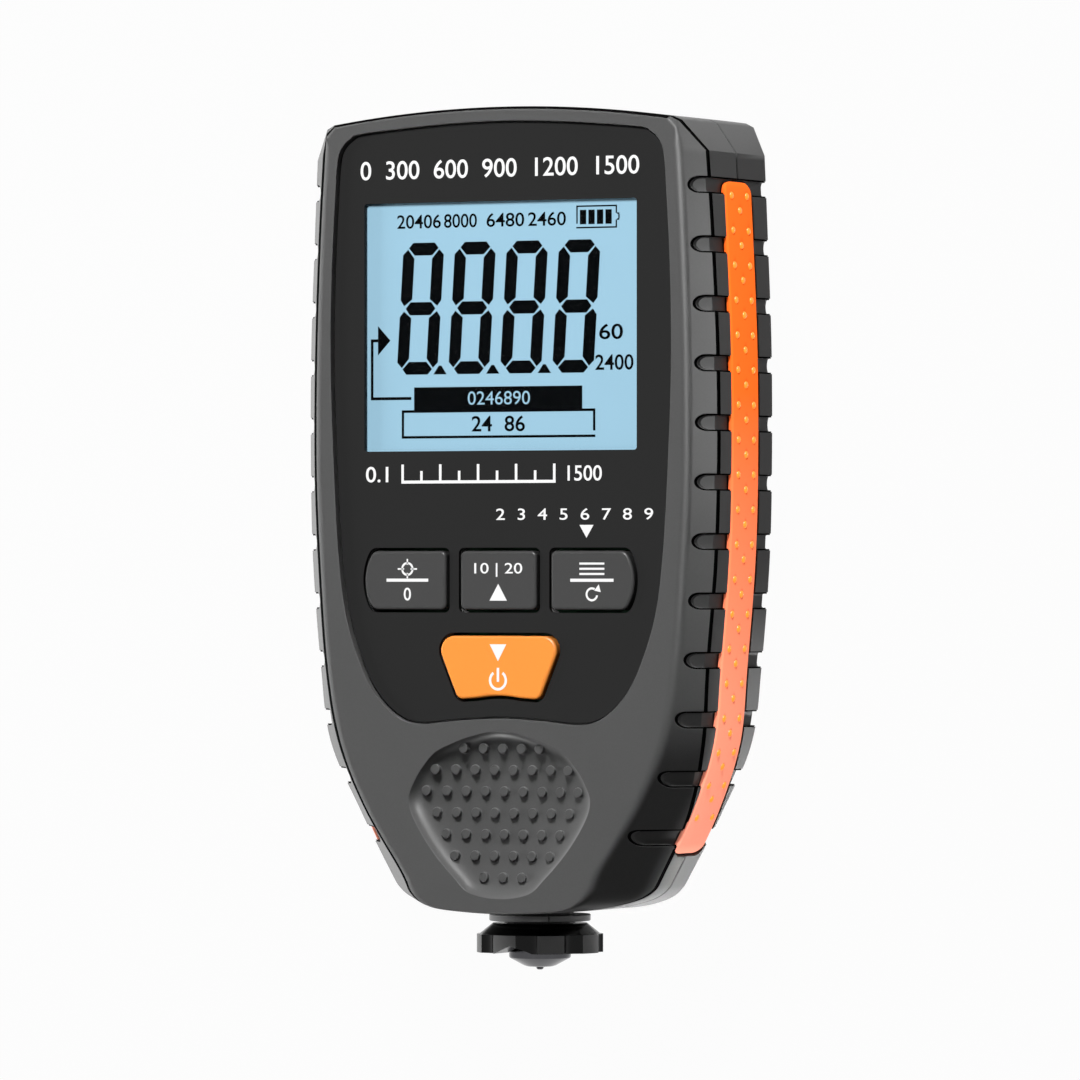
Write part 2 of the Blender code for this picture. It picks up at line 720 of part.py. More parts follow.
def housing_solid(name, collection, material=None):
    """The outer form of both shells, with its face edges broken."""
    reach = [min(FACE_ROUNDING, MOST_ROUNDING * slope) for slope in BEVEL_SLOPE]
    flat = offset_outline(FACE_EDGE, [-r for r in reach])
    shares = [r / slope for r, slope in zip(reach, BEVEL_SLOPE)]
    slanted = between(FACE_EDGE, CREASE, shares)
    slanted_z = [depth * share for depth, share in zip(CREASE_DEPTH, shares)]
    rear = [level(flat, 0.0), level(slanted, slanted_z), level(CREASE, CREASE_DEPTH)]
    return loft(name, stacked(rear), collection, material)


def shrunken_solid(name, inset):
    """The housing's form with every surface moved inwards by the same distance."""
    edge_shift = [-inset * (slope - run) / depth
                  for slope, run, depth in zip(BEVEL_SLOPE, BEVEL_RUN, CREASE_DEPTH)]
    crease_drop = [depth + inset * (slope - depth) / run
                   for slope, run, depth in zip(BEVEL_SLOPE, BEVEL_RUN, CREASE_DEPTH)]
    rear = [level(offset_outline(FACE_EDGE, edge_shift), inset),
            level(grow(CREASE, -inset), crease_drop)]
    return loft(name, stacked(rear), CUTTERS)


def cavity_rings(wall, growth=0.0):
    """Rings of the hollow at one side of mid-thickness, for a face wall of the given thickness."""
    shares = [min(1.0, wall / depth) for depth in INNER_DEPTH]
    floor = grow(between(INNER_FACE_EDGE, INNER_CREASE, shares), growth - FLOOR_INSET)
    shoulder = [max(depth, wall) + SHOULDER_RISE - growth for depth in INNER_DEPTH]
    return floor, grow(INNER_CREASE, growth - SIDE_WALL), shoulder


def front_cavity():
    floor, middle, shoulder = cavity_rings(FACE_Z - CEILING_Z)
    rings = [level(middle, MID_Z - CUT_MARGIN), level(middle, [FACE_Z - z for z in shoulder]),
             level(floor, CEILING_Z)]
    return loft("front_cavity", rings, CUTTERS)


def rear_cavity(lip_root, lip_top):
    """Hollow of the rear shell, narrower at the lip, which seats in the front shell."""
    floor, middle, shoulder = cavity_rings(REAR_WALL)
    lip_inside = grow(INNER_CREASE, -SIDE_WALL - LIP_SEAT)
    rings = [level(floor, REAR_WALL), level(middle, shoulder), level(middle, lip_root),
             level(lip_inside, lip_root), level(lip_inside, lip_top + CUT_MARGIN)]
    return loft("rear_cavity", rings, CUTTERS)


def inner_posts(name, places, radius, low, high):
    """Posts that end within the housing's walls."""
    rear_floor, middle, rear_shoulder = cavity_rings(REAR_WALL, POST_REACH)
    front_floor, middle, front_shoulder = cavity_rings(FACE_Z - CEILING_Z, POST_REACH)
    rings = [level(rear_floor, REAR_WALL - POST_REACH), level(middle, rear_shoulder),
             level(middle, [FACE_Z - z for z in front_shoulder]), level(front_floor, CEILING_Z + POST_REACH)]
    posts = rods(name, places, radius, low, high, CUTTERS)
    boolean(posts, "INTERSECT", loft(name + "_limit", rings, CUTTERS))
    return posts


def face_edge_x(y):
    """Half width of the flat face at a height."""
    right = FACE_EDGE[TOP_ARC_STEPS + 1:RIGHT_COUNT]
    for (x1, y1), (x2, y2) in zip(right, right[1:]):
        if y2 <= y <= y1:
            return x1 + (x2 - x1) * (y1 - y) / (y1 - y2)
    return right[0][0] if y > right[0][1] else 0.0


def groove_cutter():
    """Slots across both sides, as deep as the grooves."""
    radius = GROOVE_WIDTH / 2
    outer = HALF_WIDTH + CUT_MARGIN
    outlines = []
    for i in range(GROOVE_COUNT):
        y = TOP_Y - GROOVE_TOP_DROP - i * GROOVE_PITCH
        x = face_edge_x(y) + GROOVE_START + radius
        right = [(outer, y + radius), (outer, y - radius)] + arc((x, y), radius, -90, -270, 4)
        outlines.append(right)
        outlines.append([(-a, b) for a, b in reversed(right)])
    slots = plate("groove_cutter", outlines, -CUT_MARGIN, FACE_Z + CUT_MARGIN, CUTTERS)
    cut(slots, shrunken_solid("groove_floor", GROOVE_DEPTH))
    return slots


# Side grips

def grip_path():
    """Right-hand crease line between the strip's ends, top to bottom."""
    top, end = TOP_Y - GRIP_TOP_DROP, NOSE_Y + GRIP_END_RISE
    line = CREASE[TOP_ARC_STEPS + 1:RIGHT_COUNT]
    path = []
    for (x1, y1), (x2, y2) in zip(line, line[1:]):
        for y in (top, end):
            if y2 < y <= y1:
                path.append((x1 + (x2 - x1) * (y1 - y) / (y1 - y2), y))
        if end < y2 < top:
            path.append((x2, y2))
    return path


def walk(path, distance):
    """Point and outward normal at a distance along a path that runs down the right side."""
    for i, (a, b) in enumerate(zip(path, path[1:])):
        a, b = Vector(a), Vector(b)
        length = (b - a).length
        if distance <= length or i == len(path) - 2:
            along = (b - a) / length
            return a + along * distance, Vector((-along.y, along.x))
        distance -= length


def grip_sections(path, gap):
    """Stations along the strip: point, normal and half height, with rounded ends."""
    lengths = [(Vector(b) - Vector(a)).length for a, b in zip(path, path[1:])]
    total = sum(lengths)
    radius = GRIP_CORNER + gap
    ends = [radius * (1 - math.cos(math.radians(angle))) for angle in (0, 30, 60, 90)]
    distances = [-gap + e for e in ends] + [total + gap - e for e in ends]
    travelled = 0.0
    vertex_at = {}
    for i, length in enumerate(lengths[:-1]):
        travelled += length
        if radius < travelled < total - radius:
            vertex_at[travelled] = i + 1
            distances.append(travelled)
    sections = []
    for distance in sorted(distances):
        point, normal = walk(path, distance)
        if distance in vertex_at:
            normal = (normal + walk(path, distance + 1e-6)[1]).normalized()
        from_end = max(0.0, radius - min(distance + gap, total + gap - distance))
        half = GRIP_HALF_HEIGHT + gap - radius + math.sqrt(max(0.0, radius ** 2 - from_end ** 2))
        sections.append((point, normal, half))
    return sections


def grip_solid(name, side, collection, material=None, gap=0.0):
    """Strip on one side, or with a gap, the cutter of its channel."""
    rings = []
    for point, normal, half in grip_sections(grip_path(), gap):
        inner = -GRIP_SEAT - gap
        if gap:
            outer = GRIP_PROUD + CUT_MARGIN
            section = [(inner, -half), (outer, -half), (outer, half), (inner, half)]
        else:
            edge = GRIP_EDGE
            section = [(inner, -half), (GRIP_PROUD - edge, -half), (GRIP_PROUD, edge - half),
                       (GRIP_PROUD, half - edge), (GRIP_PROUD - edge, half), (inner, half)]
        ring = []
        for out, up in section:
            place = point + normal * out
            ring.append(Vector((side * place.x, place.y, MID_Z + up)))
        rings.append(ring)
    return loft(name, rings, collection, material)


# Face outlines

def panel_outline():
    x = HALF_WIDTH
    top = [(0.0, PANEL_TOP_Y)] + [(x - inset, PANEL_TOP_Y - drop) for inset, drop in PANEL_TOP_STATIONS]
    corner = [(x - inset, PANEL_TOP_Y - drop) for inset, drop in PANEL_CORNER_STATIONS]
    side = [(x - inset, PANEL_TOP_Y - drop) for inset, drop in PANEL_SIDE_STATIONS]
    foot = [(x - inset, PANEL_END_Y + rise) for inset, rise in PANEL_FOOT_STATIONS]
    middle = (0.0, PANEL_END_Y + PANEL_FOOT_MIDDLE)
    points = top + corner + side + foot + [middle]
    before, after = (-top[1][0], top[1][1]), (-foot[-1][0], foot[-1][1])
    return mirrored(smooth_curve(points, 2, before=before, after=after))


def side_key_outline(side, gap):
    """Key with a straight inner end and a bulged outer end."""
    inner = MIDDLE_KEY_WIDTH / 2 + KEY_SPACING - gap
    chord = MIDDLE_KEY_WIDTH / 2 + KEY_SPACING + SIDE_KEY_WIDTH - SIDE_KEY_BULGE + gap
    half = KEY_HEIGHT / 2 + gap
    radius = (half ** 2 + SIDE_KEY_BULGE ** 2) / (2 * SIDE_KEY_BULGE)
    opening = math.degrees(math.asin(half / radius))
    bulge = arc((chord + SIDE_KEY_BULGE - radius, KEY_Y), radius, opening, -opening, 6)
    corners = [(inner, KEY_Y + half, KEY_CORNER)]
    corners += [(x, y, KEY_CORNER / 2 if i in (0, 6) else 0) for i, (x, y) in enumerate(bulge)]
    corners += [(inner, KEY_Y - half, KEY_CORNER)]
    outline = rounded(corners, 2)
    if side < 0:
        return [(-x, y) for x, y in reversed(outline)]
    return outline


def middle_key_outline(gap):
    return rectangle(0.0, KEY_Y, MIDDLE_KEY_WIDTH + 2 * gap, KEY_HEIGHT + 2 * gap, KEY_CORNER)


def power_key_outline(gap):
    """Key that tapers downwards, with an arched lower edge."""
    top, foot, arch = POWER_TOP_WIDTH / 2, POWER_FOOT_WIDTH / 2, POWER_ARCH_HALF_WIDTH
    end = POWER_TOP_Y - POWER_HEIGHT
    corners = [(top, POWER_TOP_Y, POWER_TOP_CORNER), (foot, end, POWER_FOOT_CORNER),
               (arch, end + POWER_FOOT_ARCH, 0), (-arch, end + POWER_FOOT_ARCH, 0),
               (-foot, end, POWER_FOOT_CORNER), (-top, POWER_TOP_Y, POWER_TOP_CORNER)]
    outline = rounded(corners, 3)
    return grow(outline, gap) if gap else outline


KEYS = {
    "zero": (-(MIDDLE_KEY_WIDTH + 2 * KEY_SPACING + SIDE_KEY_WIDTH) / 2, KEY_Y,
             lambda gap: side_key_outline(-1, gap), KEY_GREY),
    "unit": (0.0, KEY_Y, middle_key_outline, KEY_GREY),
    "mode": ((MIDDLE_KEY_WIDTH + 2 * KEY_SPACING + SIDE_KEY_WIDTH) / 2, KEY_Y,
             lambda gap: side_key_outline(1, gap), KEY_GREY),
    "power": (0.0, POWER_Y, power_key_outline, KEY_ORANGE),
}


# Thumb dish

def dish_outline():
    points = [(0.0, DISH_TOP_Y)] + [(x, DISH_TOP_Y - drop) for x, drop in DISH_STATIONS]
    points.append((0.0, DISH_TOP_Y - DISH_LENGTH))
    before, after = (-points[1][0], points[1][1]), (-points[-2][0], points[-2][1])
    return mirrored(smooth_curve(points, DISH_STEPS, before=before, after=after))


def dish_share(x, y, outline):
    """How far a point is from the dish's centre, as a share of the way to its edge."""
    centre = Vector((0.0, DISH_TOP_Y - DISH_CENTRE_DROP))
    ray = Vector((x, y)) - centre
    if ray.length == 0:
        return 0.0
    for a, b in zip(outline, outline[1:] + outline[:1]):
        a, b = Vector(a) - centre, Vector(b) - centre
        turn_a, turn_b = ray.cross(a), ray.cross(b)
        if turn_a * turn_b <= 0 and ray.dot(a + b) > 0 and turn_a != turn_b:
            edge = a + (b - a) * turn_a / (turn_a - turn_b)
            return ray.length / edge.length
    return 1.0


def dish_floor(x, y, outline):
    """Height of the dish's surface at a point."""
    share = dish_share(x, y, outline)
    for (s1, d1), (s2, d2) in zip(DISH_PROFILE, DISH_PROFILE[1:]):
        if share >= s2:
            return FACE_Z - DISH_DEPTH * (d1 + (d2 - d1) * (s1 - share) / (s1 - s2))
    return FACE_Z - DISH_DEPTH


def dish_cutter(outline):
    centre = Vector((0.0, DISH_TOP_Y - DISH_CENTRE_DROP))
    rings = [level(outline, FACE_Z + CUT_MARGIN)]
    for share, depth in DISH_PROFILE:
        ring = [tuple(centre + (Vector(point) - centre) * share) for point in outline]
        rings.append(level(ring, FACE_Z - DISH_DEPTH * depth))
    return loft("dish_cutter", rings, CUTTERS)


def dots(outline):
    """Raised dots in the dish, in staggered rows."""
    bm = bmesh.new()
    for row, count in enumerate(DOT_ROWS):
        y = DISH_TOP_Y - DOT_TOP_DROP - row * DOT_PITCH
        for i in range(count):
            x = (i - (count - 1) / 2) * DOT_PITCH
            floor = dish_floor(x, y, outline)
            low, high = floor - DOT_ROOT, floor + DOT_HEIGHT
            middle = Matrix.Translation((x, y, (low + high) / 2))
            bmesh.ops.create_cone(bm, cap_ends=True, segments=DOT_SIDES, radius1=DOT_RADIUS,
                                  radius2=DOT_RADIUS, depth=high - low, matrix=middle)
    return add_object("dish_dots", finish_mesh("dish_dots", bm), CUTTERS)


# Shells

def nose_cutter():
    """Hole in the nose for the probe's sleeve."""
    radius = SLEEVE_RADIUS + FIT_GAP
    length = SIDE_WALL + 2 * CUT_MARGIN
    profile = [(0.0, length / 2), (radius, length / 2), (radius, -length / 2), (0.0, -length / 2)]
    cutter = turned("nose_cutter", profile, False, CUTTERS, axis="Y")
    cutter.location = (PROBE_X, NOSE_Y + SIDE_WALL / 2, MID_Z)
    return cutter


def cradle(name, low, high):
    """Rib that holds the sleeve's barrel in one shell."""
    middle = LOWER_SLEEVE_Y - CRADLE_SET
    rib = block(name, (-CRADLE_WIDTH / 2, middle - CRADLE_THICKNESS / 2, low),
                (CRADLE_WIDTH / 2, middle + CRADLE_THICKNESS / 2, high), CUTTERS)
    return rib


def barrel_cutter():
    radius = SLEEVE_BARREL + FIT_GAP
    half = CRADLE_THICKNESS
    profile = [(0.0, half), (radius, half), (radius, -half), (0.0, -half)]
    cutter = turned("barrel_cutter", profile, False, CUTTERS, axis="Y")
    cutter.location = (PROBE_X, LOWER_SLEEVE_Y - CRADLE_SET, MID_Z)
    return cutter


def half_space(name, low, high):
    reach = HALF_WIDTH + TOP_Y
    return block(name, (-reach, -reach, low), (reach, reach, high), CUTTERS)


def case_shank_length():
    return MID_Z - CASE_JOINT_DROP - CASE_HEAD_Z - CASE_HEAD_HEIGHT + CASE_THREAD_LENGTH


def build_front_shell(shared):
    shell = housing_solid("front_shell", PARTS, SHELL_GREY)
    parting = MID_Z + FIT_GAP / 2
    cut(shell, shared["grooves"], shared["right_channel"], shared["left_channel"])
    cut(shell, half_space("below_parting", -CUT_MARGIN, parting), front_cavity())
    post_end = MID_Z - CASE_JOINT_DROP
    case_places, board_places = both_sides(CASE_SCREWS), both_sides(BOARD_SCREWS)
    root_z = CEILING_Z + POCKET_WALL / 2
    join(shell, inner_posts("case_posts", case_places, CASE_POST_RADIUS, post_end, root_z))
    join(shell, inner_posts("board_posts", board_places, BOARD_POST_RADIUS, DECK_Z, root_z))
    join(shell, cradle("front_cradle", MID_Z + FIT_GAP, root_z))
    cut(shell, shared["barrel"])
    rebate = plate("rebate_cutter", [grow(INNER_CREASE, LIP_THICKNESS - SIDE_WALL + FIT_GAP)],
                   MID_Z - CUT_MARGIN, parting + LIP_HEIGHT + FIT_GAP, CUTTERS)
    cut(rebate, rods("rebate_keep", case_places, CASE_POST_RADIUS + FIT_GAP, MID_Z - 2 * CUT_MARGIN,
                     FACE_Z, CUTTERS))
    cut(shell, rebate)
    case_pilot_top = CASE_HEAD_Z + CASE_HEAD_HEIGHT + case_shank_length() + FIT_GAP
    cut(shell, rods("case_pilots", case_places, CASE_SHANK_RADIUS + FIT_GAP, post_end - CUT_MARGIN,
                    case_pilot_top, CUTTERS, sides=SMALL_SIDES))
    cut(shell, rods("board_pilots", board_places, BOARD_SHANK_RADIUS + FIT_GAP, DECK_Z - CUT_MARGIN,
                    DECK_Z + BOARD_THREAD_LENGTH + FIT_GAP, CUTTERS, sides=SMALL_SIDES))
    pocket = plate("pocket_cutter", [grow(panel_outline(), FIT_GAP)], POCKET_FLOOR_Z,
                   FACE_Z + CUT_MARGIN, CUTTERS)
    openings = [window_outline(LCD_OVERLAP + FIT_GAP)]
    openings += [outline(FIT_GAP) for x, y, outline, material in KEYS.values()]
    cut(shell, pocket, plate("face_openings", openings, CEILING_Z - CUT_MARGIN,
                             FACE_Z + CUT_MARGIN, CUTTERS))
    outline = dish_outline()
    cut(shell, dish_cutter(outline))
    join(shell, dots(outline))
    cut(shell, shared["nose"])
    return shell


def pin_rod(name, radius, half_length, collection):
    """Cylinder along the door's hinge axis."""
    profile = [(0.0, half_length), (radius, half_length), (radius, -half_length), (0.0, -half_length)]
    rod = turned(name, profile, False, collection, sides=ROD_SIDES)
    rod.rotation_euler = (0.0, math.pi / 2, 0.0)
    rod.location = (0.0, HINGE_Y, HINGE_Z)
    return rod


def build_rear_shell(shared):
    shell = housing_solid("rear_shell", PARTS, SHELL_GREY)
    parting = MID_Z - FIT_GAP / 2
    cut(shell, shared["grooves"], shared["right_channel"], shared["left_channel"])
    lip_top = parting + LIP_HEIGHT
    reach = HALF_WIDTH + TOP_Y
    lip_outside = plate("lip_outside", [rectangle(0.0, 0.0, 2 * reach, 2 * reach),
                                        grow(INNER_CREASE, LIP_THICKNESS - SIDE_WALL)],
                        parting, FACE_Z, CUTTERS)
    cut(shell, half_space("above_lip", lip_top, FACE_Z + CUT_MARGIN), lip_outside)
    cut(shell, rear_cavity(parting - LIP_ROOT, lip_top))
    case_places = both_sides(CASE_SCREWS)
    boss_top = MID_Z - CASE_JOINT_DROP - FIT_GAP
    root_z = REAR_WALL / 2
    join(shell, inner_posts("case_bosses", case_places, CASE_BOSS_RADIUS, root_z, boss_top))
    join(shell, cradle("rear_cradle", root_z, MID_Z - FIT_GAP))
    cut(shell, shared["barrel"])
    bay_low = DOOR_END_Y - FIT_GAP - DOOR_END_WALL
    join(shell, block("bay_block", (-BLOCK_HALF_WIDTH, bay_low, root_z),
                      (BLOCK_HALF_WIDTH, BLOCK_TOP_Y, ROOF_Z + BAY_ROOF), CUTTERS))
    cut(shell, block("bay_cutter", (-BAY_HALF_WIDTH, BAY_END_Y, -CUT_MARGIN),
                     (BAY_HALF_WIDTH, BAY_TOP_Y, ROOF_Z), CUTTERS))
    door_half = DOOR_HALF_WIDTH + FIT_GAP
    cut(shell, block("door_recess", (-door_half, DOOR_END_Y - FIT_GAP, -CUT_MARGIN),
                     (door_half, DOOR_TOP_Y + FIT_GAP, LEDGE_Z), CUTTERS))
    pin_reach = DOOR_HALF_WIDTH + DOOR_PIN_LENGTH + FIT_GAP
    cut(shell, pin_rod("pin_sockets", DOOR_PIN_RADIUS + FIT_GAP, pin_reach, CUTTERS))
    head_top = CASE_HEAD_Z + CASE_HEAD_HEIGHT + FIT_GAP
    cut(shell, rods("head_wells", case_places, CASE_HEAD_RADIUS + FIT_GAP, -CUT_MARGIN, head_top, CUTTERS))
    cut(shell, rods("shank_holes", case_places, CASE_SHANK_RADIUS + FIT_GAP, head_top - FIT_GAP,
                    boss_top + CUT_MARGIN, CUTTERS, sides=SMALL_SIDES))
    cut(shell, rods("thumb_notch", [(0.0, DOOR_TOP_Y)], DOOR_NOTCH_RADIUS, -CUT_MARGIN,
                    DOOR_NOTCH_DEPTH, CUTTERS, sides=TURNED_SIDES))
    cut(shell, shared["nose"])
    return shell


def build_door():
    """Battery door that turns about pins at its lower end."""
    half = DOOR_THICKNESS / 2
    edge = arc((0.0, 0.0), half, 90, 270, 6)
    top = DOOR_TOP_Y - HINGE_Y
    profile = edge + [(top, -half), (top, half)]
    rings = []
    for x in (-DOOR_HALF_WIDTH, DOOR_HALF_WIDTH):
        rings.append([Vector((x, HINGE_Y + y, HINGE_Z + z)) for y, z in profile])
    door = loft("battery_cover", rings, PARTS, SHELL_GREY)
    set_origin(door, (0.0, HINGE_Y, HINGE_Z))
    join(door, pin_rod("door_pins", DOOR_PIN_RADIUS, DOOR_HALF_WIDTH + DOOR_PIN_LENGTH, CUTTERS))
    ribs = []
    for i in range(DOOR_RIB_COUNT):
        y = DOOR_TOP_Y - DOOR_RIB_DROP - i * DOOR_RIB_PITCH
        ribs.append(rectangle(0.0, y, DOOR_RIB_LENGTH, DOOR_RIB_WIDTH, DOOR_RIB_CORNER))
    cut(door, plate("door_ribs", ribs, -CUT_MARGIN, DOOR_RECESS + DOOR_RIB_CUT, CUTTERS))
    return door


# Front panel, lens and keys

def window_outline(growth):
    return rectangle(0.0, WINDOW_Y, WINDOW_WIDTH + 2 * growth, WINDOW_HEIGHT + 2 * growth, WINDOW_CORNER)


def build_panel():
    outlines = [panel_outline(), window_outline(0.0)]
    outlines += [outline(FIT_GAP) for x, y, outline, material in KEYS.values()]
    return plate("front_panel", outlines, PANEL_Z, PANEL_TOP_Z, PARTS, PANEL_BLACK)


def build_key(key):
    """Key cap with a flange under the housing's face, and the switch plunger below it."""
    x, y, outline, material = KEYS[key]
    flange_top = CEILING_Z - FIT_GAP
    flange_base = flange_top - KEY_FLANGE_THICKNESS
    top = PANEL_TOP_Z + KEY_RAISE
    shape = outline(0.0)
    rings = [level(shape, flange_base + KEY_FLANGE_THICKNESS / 2), level(shape, top - KEY_EDGE),
             level(grow(shape, -KEY_EDGE), top)]
    cap = loft(key + "_key", rings, PARTS, material)
    set_origin(cap, (x, y, top))
    join(cap, plate(key + "_flange", [grow(shape, KEY_FLANGE)], flange_base, flange_top, CUTTERS))
    foot_end = DECK_Z + SWITCH_HEIGHT + PLUNGER_PROUD + FIT_GAP
    join(cap, rods(key + "_foot", [(x, y)], KEY_FOOT_RADIUS, foot_end,
                   flange_base + KEY_FLANGE_THICKNESS / 2, CUTTERS, sides=SMALL_SIDES))
    return cap


def build_switch(key):
    x, y, outline, material = KEYS[key]
    top = DECK_Z + SWITCH_HEIGHT
    half = SWITCH_SIZE / 2
    base = block(key + "_switch_base", (x - half, y - half, DECK_Z), (x + half, y + half, top), PARTS,
                 BLACK_PLASTIC)
    cut(base, rods(key + "_switch_well", [(x, y)], SWITCH_WELL_RADIUS, DECK_Z + SWITCH_WELL_FLOOR,
                   top + CUT_MARGIN, CUTTERS, sides=SMALL_SIDES))
    plunger_top = top + PLUNGER_PROUD
    plunger = rods(key + "_switch_plunger", [(x, y)], PLUNGER_RADIUS, plunger_top - PLUNGER_LENGTH,
                   plunger_top, PARTS, WHITE_PLASTIC, sides=SMALL_SIDES)
    set_origin(plunger, (x, y, plunger_top))


# Display and board

def build_display():
    lens = window_outline(-LENS_GAP)
    plate("display_window", [lens], PANEL_Z, PANEL_TOP_Z, PARTS, LENS_CLEAR)
    plate("lcd_glass", [window_outline(LCD_OVERLAP)], LCD_Z, LCD_TOP_Z, PARTS, LCD_BLUE)
    inside = window_outline(LCD_OVERLAP + FIT_GAP)
    outside = window_outline(LCD_OVERLAP + FIT_GAP + FRAME_WALL)
    plate("lcd_frame", [outside, inside], DECK_Z, CEILING_Z - FRAME_LID_GAP, PARTS, WHITE_PLASTIC)
    half = WINDOW_WIDTH / 2
    base = WINDOW_Y - WINDOW_HEIGHT / 2
    strip_low = base - LCD_OVERLAP + FIT_GAP
    strip_high = strip_low + ZEBRA_DEPTH
    block("zebra_strip", (-half + ZEBRA_INSET, strip_low, DECK_Z), (half - ZEBRA_INSET, strip_high,
          LCD_Z - FIT_GAP), PARTS, RUBBER_BLACK)
    side = half + LCD_OVERLAP - BACKLIGHT_INSET
    block("backlight_panel", (-side, strip_high + FIT_GAP, DECK_Z),
          (side, WINDOW_TOP_Y + LCD_OVERLAP - BACKLIGHT_INSET, LCD_Z - FIT_GAP), PARTS, WHITE_PLASTIC)


def build_board():
    taper_y = BOARD_END_Y + BOARD_TAPER_RISE
    foot = BOARD_HALF_WIDTH - BOARD_TAPER
    outline = [(BOARD_HALF_WIDTH, BOARD_TOP_Y), (BOARD_HALF_WIDTH, taper_y),
               (foot, BOARD_END_Y), (-foot, BOARD_END_Y),
               (-BOARD_HALF_WIDTH, taper_y), (-BOARD_HALF_WIDTH, BOARD_TOP_Y)]
    holes = [circle(place, BOARD_SHANK_RADIUS + FIT_GAP, ROD_SIDES) for place in both_sides(BOARD_SCREWS)]
    plate("main_board", [outline, *holes], BOARD_Z, BOARD_TOP_Z, PARTS, BOARD_GREEN)
    under = BOARD_Z - FIT_GAP
    half = CHIP_SIZE / 2
    chip_x = CHIP_INSET - BOARD_HALF_WIDTH
    chip_y = BLOCK_TOP_Y + CHIP_SPACING + half
    block("controller_chip", (chip_x - half, chip_y - half, under - CHIP_HEIGHT),
          (chip_x + half, chip_y + half, under), PARTS, BLACK_PLASTIC)
    place = (BOARD_HALF_WIDTH - BUZZER_INSET, BOARD_TOP_Y - BUZZER_DROP)
    buzzer = rods("buzzer", [place], BUZZER_RADIUS, under - BUZZER_HEIGHT, under, PARTS, BLACK_PLASTIC,
                  TURNED_SIDES)
    cut(buzzer, rods("buzzer_port", [place], BUZZER_PORT_RADIUS, under - BUZZER_HEIGHT - CUT_MARGIN,
                     under - BUZZER_HEIGHT + BUZZER_PORT_DEPTH, CUTTERS, sides=ROD_SIDES))


def screw(name, x, y, head_z, head_radius, head_height, shank_radius, shank_length, slots):
    """Pan-head screw pointing up, with one drive slot or a cross."""
    head_top = head_z + head_height
    profile = [(0.0, head_top + shank_length), (shank_radius, head_top + shank_length),
               (shank_radius, head_top), (head_radius, head_top), (head_radius, head_z), (0.0, head_z)]
    item = turned(name, profile, False, PARTS, STEEL, sides=ROD_SIDES)
    item.location = (x, y, 0.0)
    cross = ((DRIVE_LENGTH, DRIVE_WIDTH), (DRIVE_WIDTH, DRIVE_LENGTH))
    for across, (width, height) in enumerate(cross[:slots]):
        slot = block(f"{name}_drive_{across}", (x - width / 2, y - height / 2, head_z - CUT_MARGIN),
                     (x + width / 2, y + height / 2, head_z + DRIVE_DEPTH), CUTTERS)
        cut(item, slot)
    return item


def build_screws():
    for i, (x, y) in enumerate(both_sides(CASE_SCREWS), 1):
        screw(f"case_screw_{i}", x, y, CASE_HEAD_Z, CASE_HEAD_RADIUS, CASE_HEAD_HEIGHT,
              CASE_SHANK_RADIUS, case_shank_length(), 2)
    head_z = BOARD_Z - FIT_GAP - BOARD_HEAD_HEIGHT
    length = DECK_Z + BOARD_THREAD_LENGTH - head_z - BOARD_HEAD_HEIGHT
    for i, (x, y) in enumerate(both_sides(BOARD_SCREWS), 1):
        screw(f"board_screw_{i}", x, y, head_z, BOARD_HEAD_RADIUS, BOARD_HEAD_HEIGHT,
              BOARD_SHANK_RADIUS, length, 1)


# Battery bay contents

def coil_points(x, z, start, end, radius, wire_radius, turns, facing=1.0):
    """Helix along Y between two planes, with its wire inside them."""
    first, last = start + wire_radius, end - wire_radius
    points = []
    count = turns * 8
    for i in range(count + 1):
        angle = 2 * math.pi * turns * i / count
        points.append((x + radius * math.cos(angle), first + (last - first) * i / count,
                       z + facing * radius * math.sin(angle)))
    return points


def build_cell(name, x, up):
    """AAA cell along Y. Its positive end points up the gauge if up is 1, down if it is -1."""
    radius = CELL_DIAMETER / 2
    half = (CELL_LENGTH - CELL_NUB_LENGTH) / 2
    profile = [(0.0, half + CELL_NUB_LENGTH), (CELL_NUB_RADIUS, half + CELL_NUB_LENGTH),
               (CELL_NUB_RADIUS, half), (radius - CELL_EDGE, half), (radius, half - CELL_EDGE),
               (radius, -half), (0.0, -half)]
    cell = turned(name, profile, False, PARTS, CELL_JACKET, sides=BARREL_SIDES, axis="Y")
    flat_end = CONTACT_THICKNESS + 3 * FIT_GAP
    if up > 0:
        y = BAY_TOP_Y - flat_end + FIT_GAP - CELL_NUB_LENGTH - half
    else:
        y = BAY_END_Y + flat_end - FIT_GAP + CELL_NUB_LENGTH + half
        cell.rotation_euler = (math.pi / 2, 0.0, 0.0)
    cell.location = (x, y, CELL_Z)


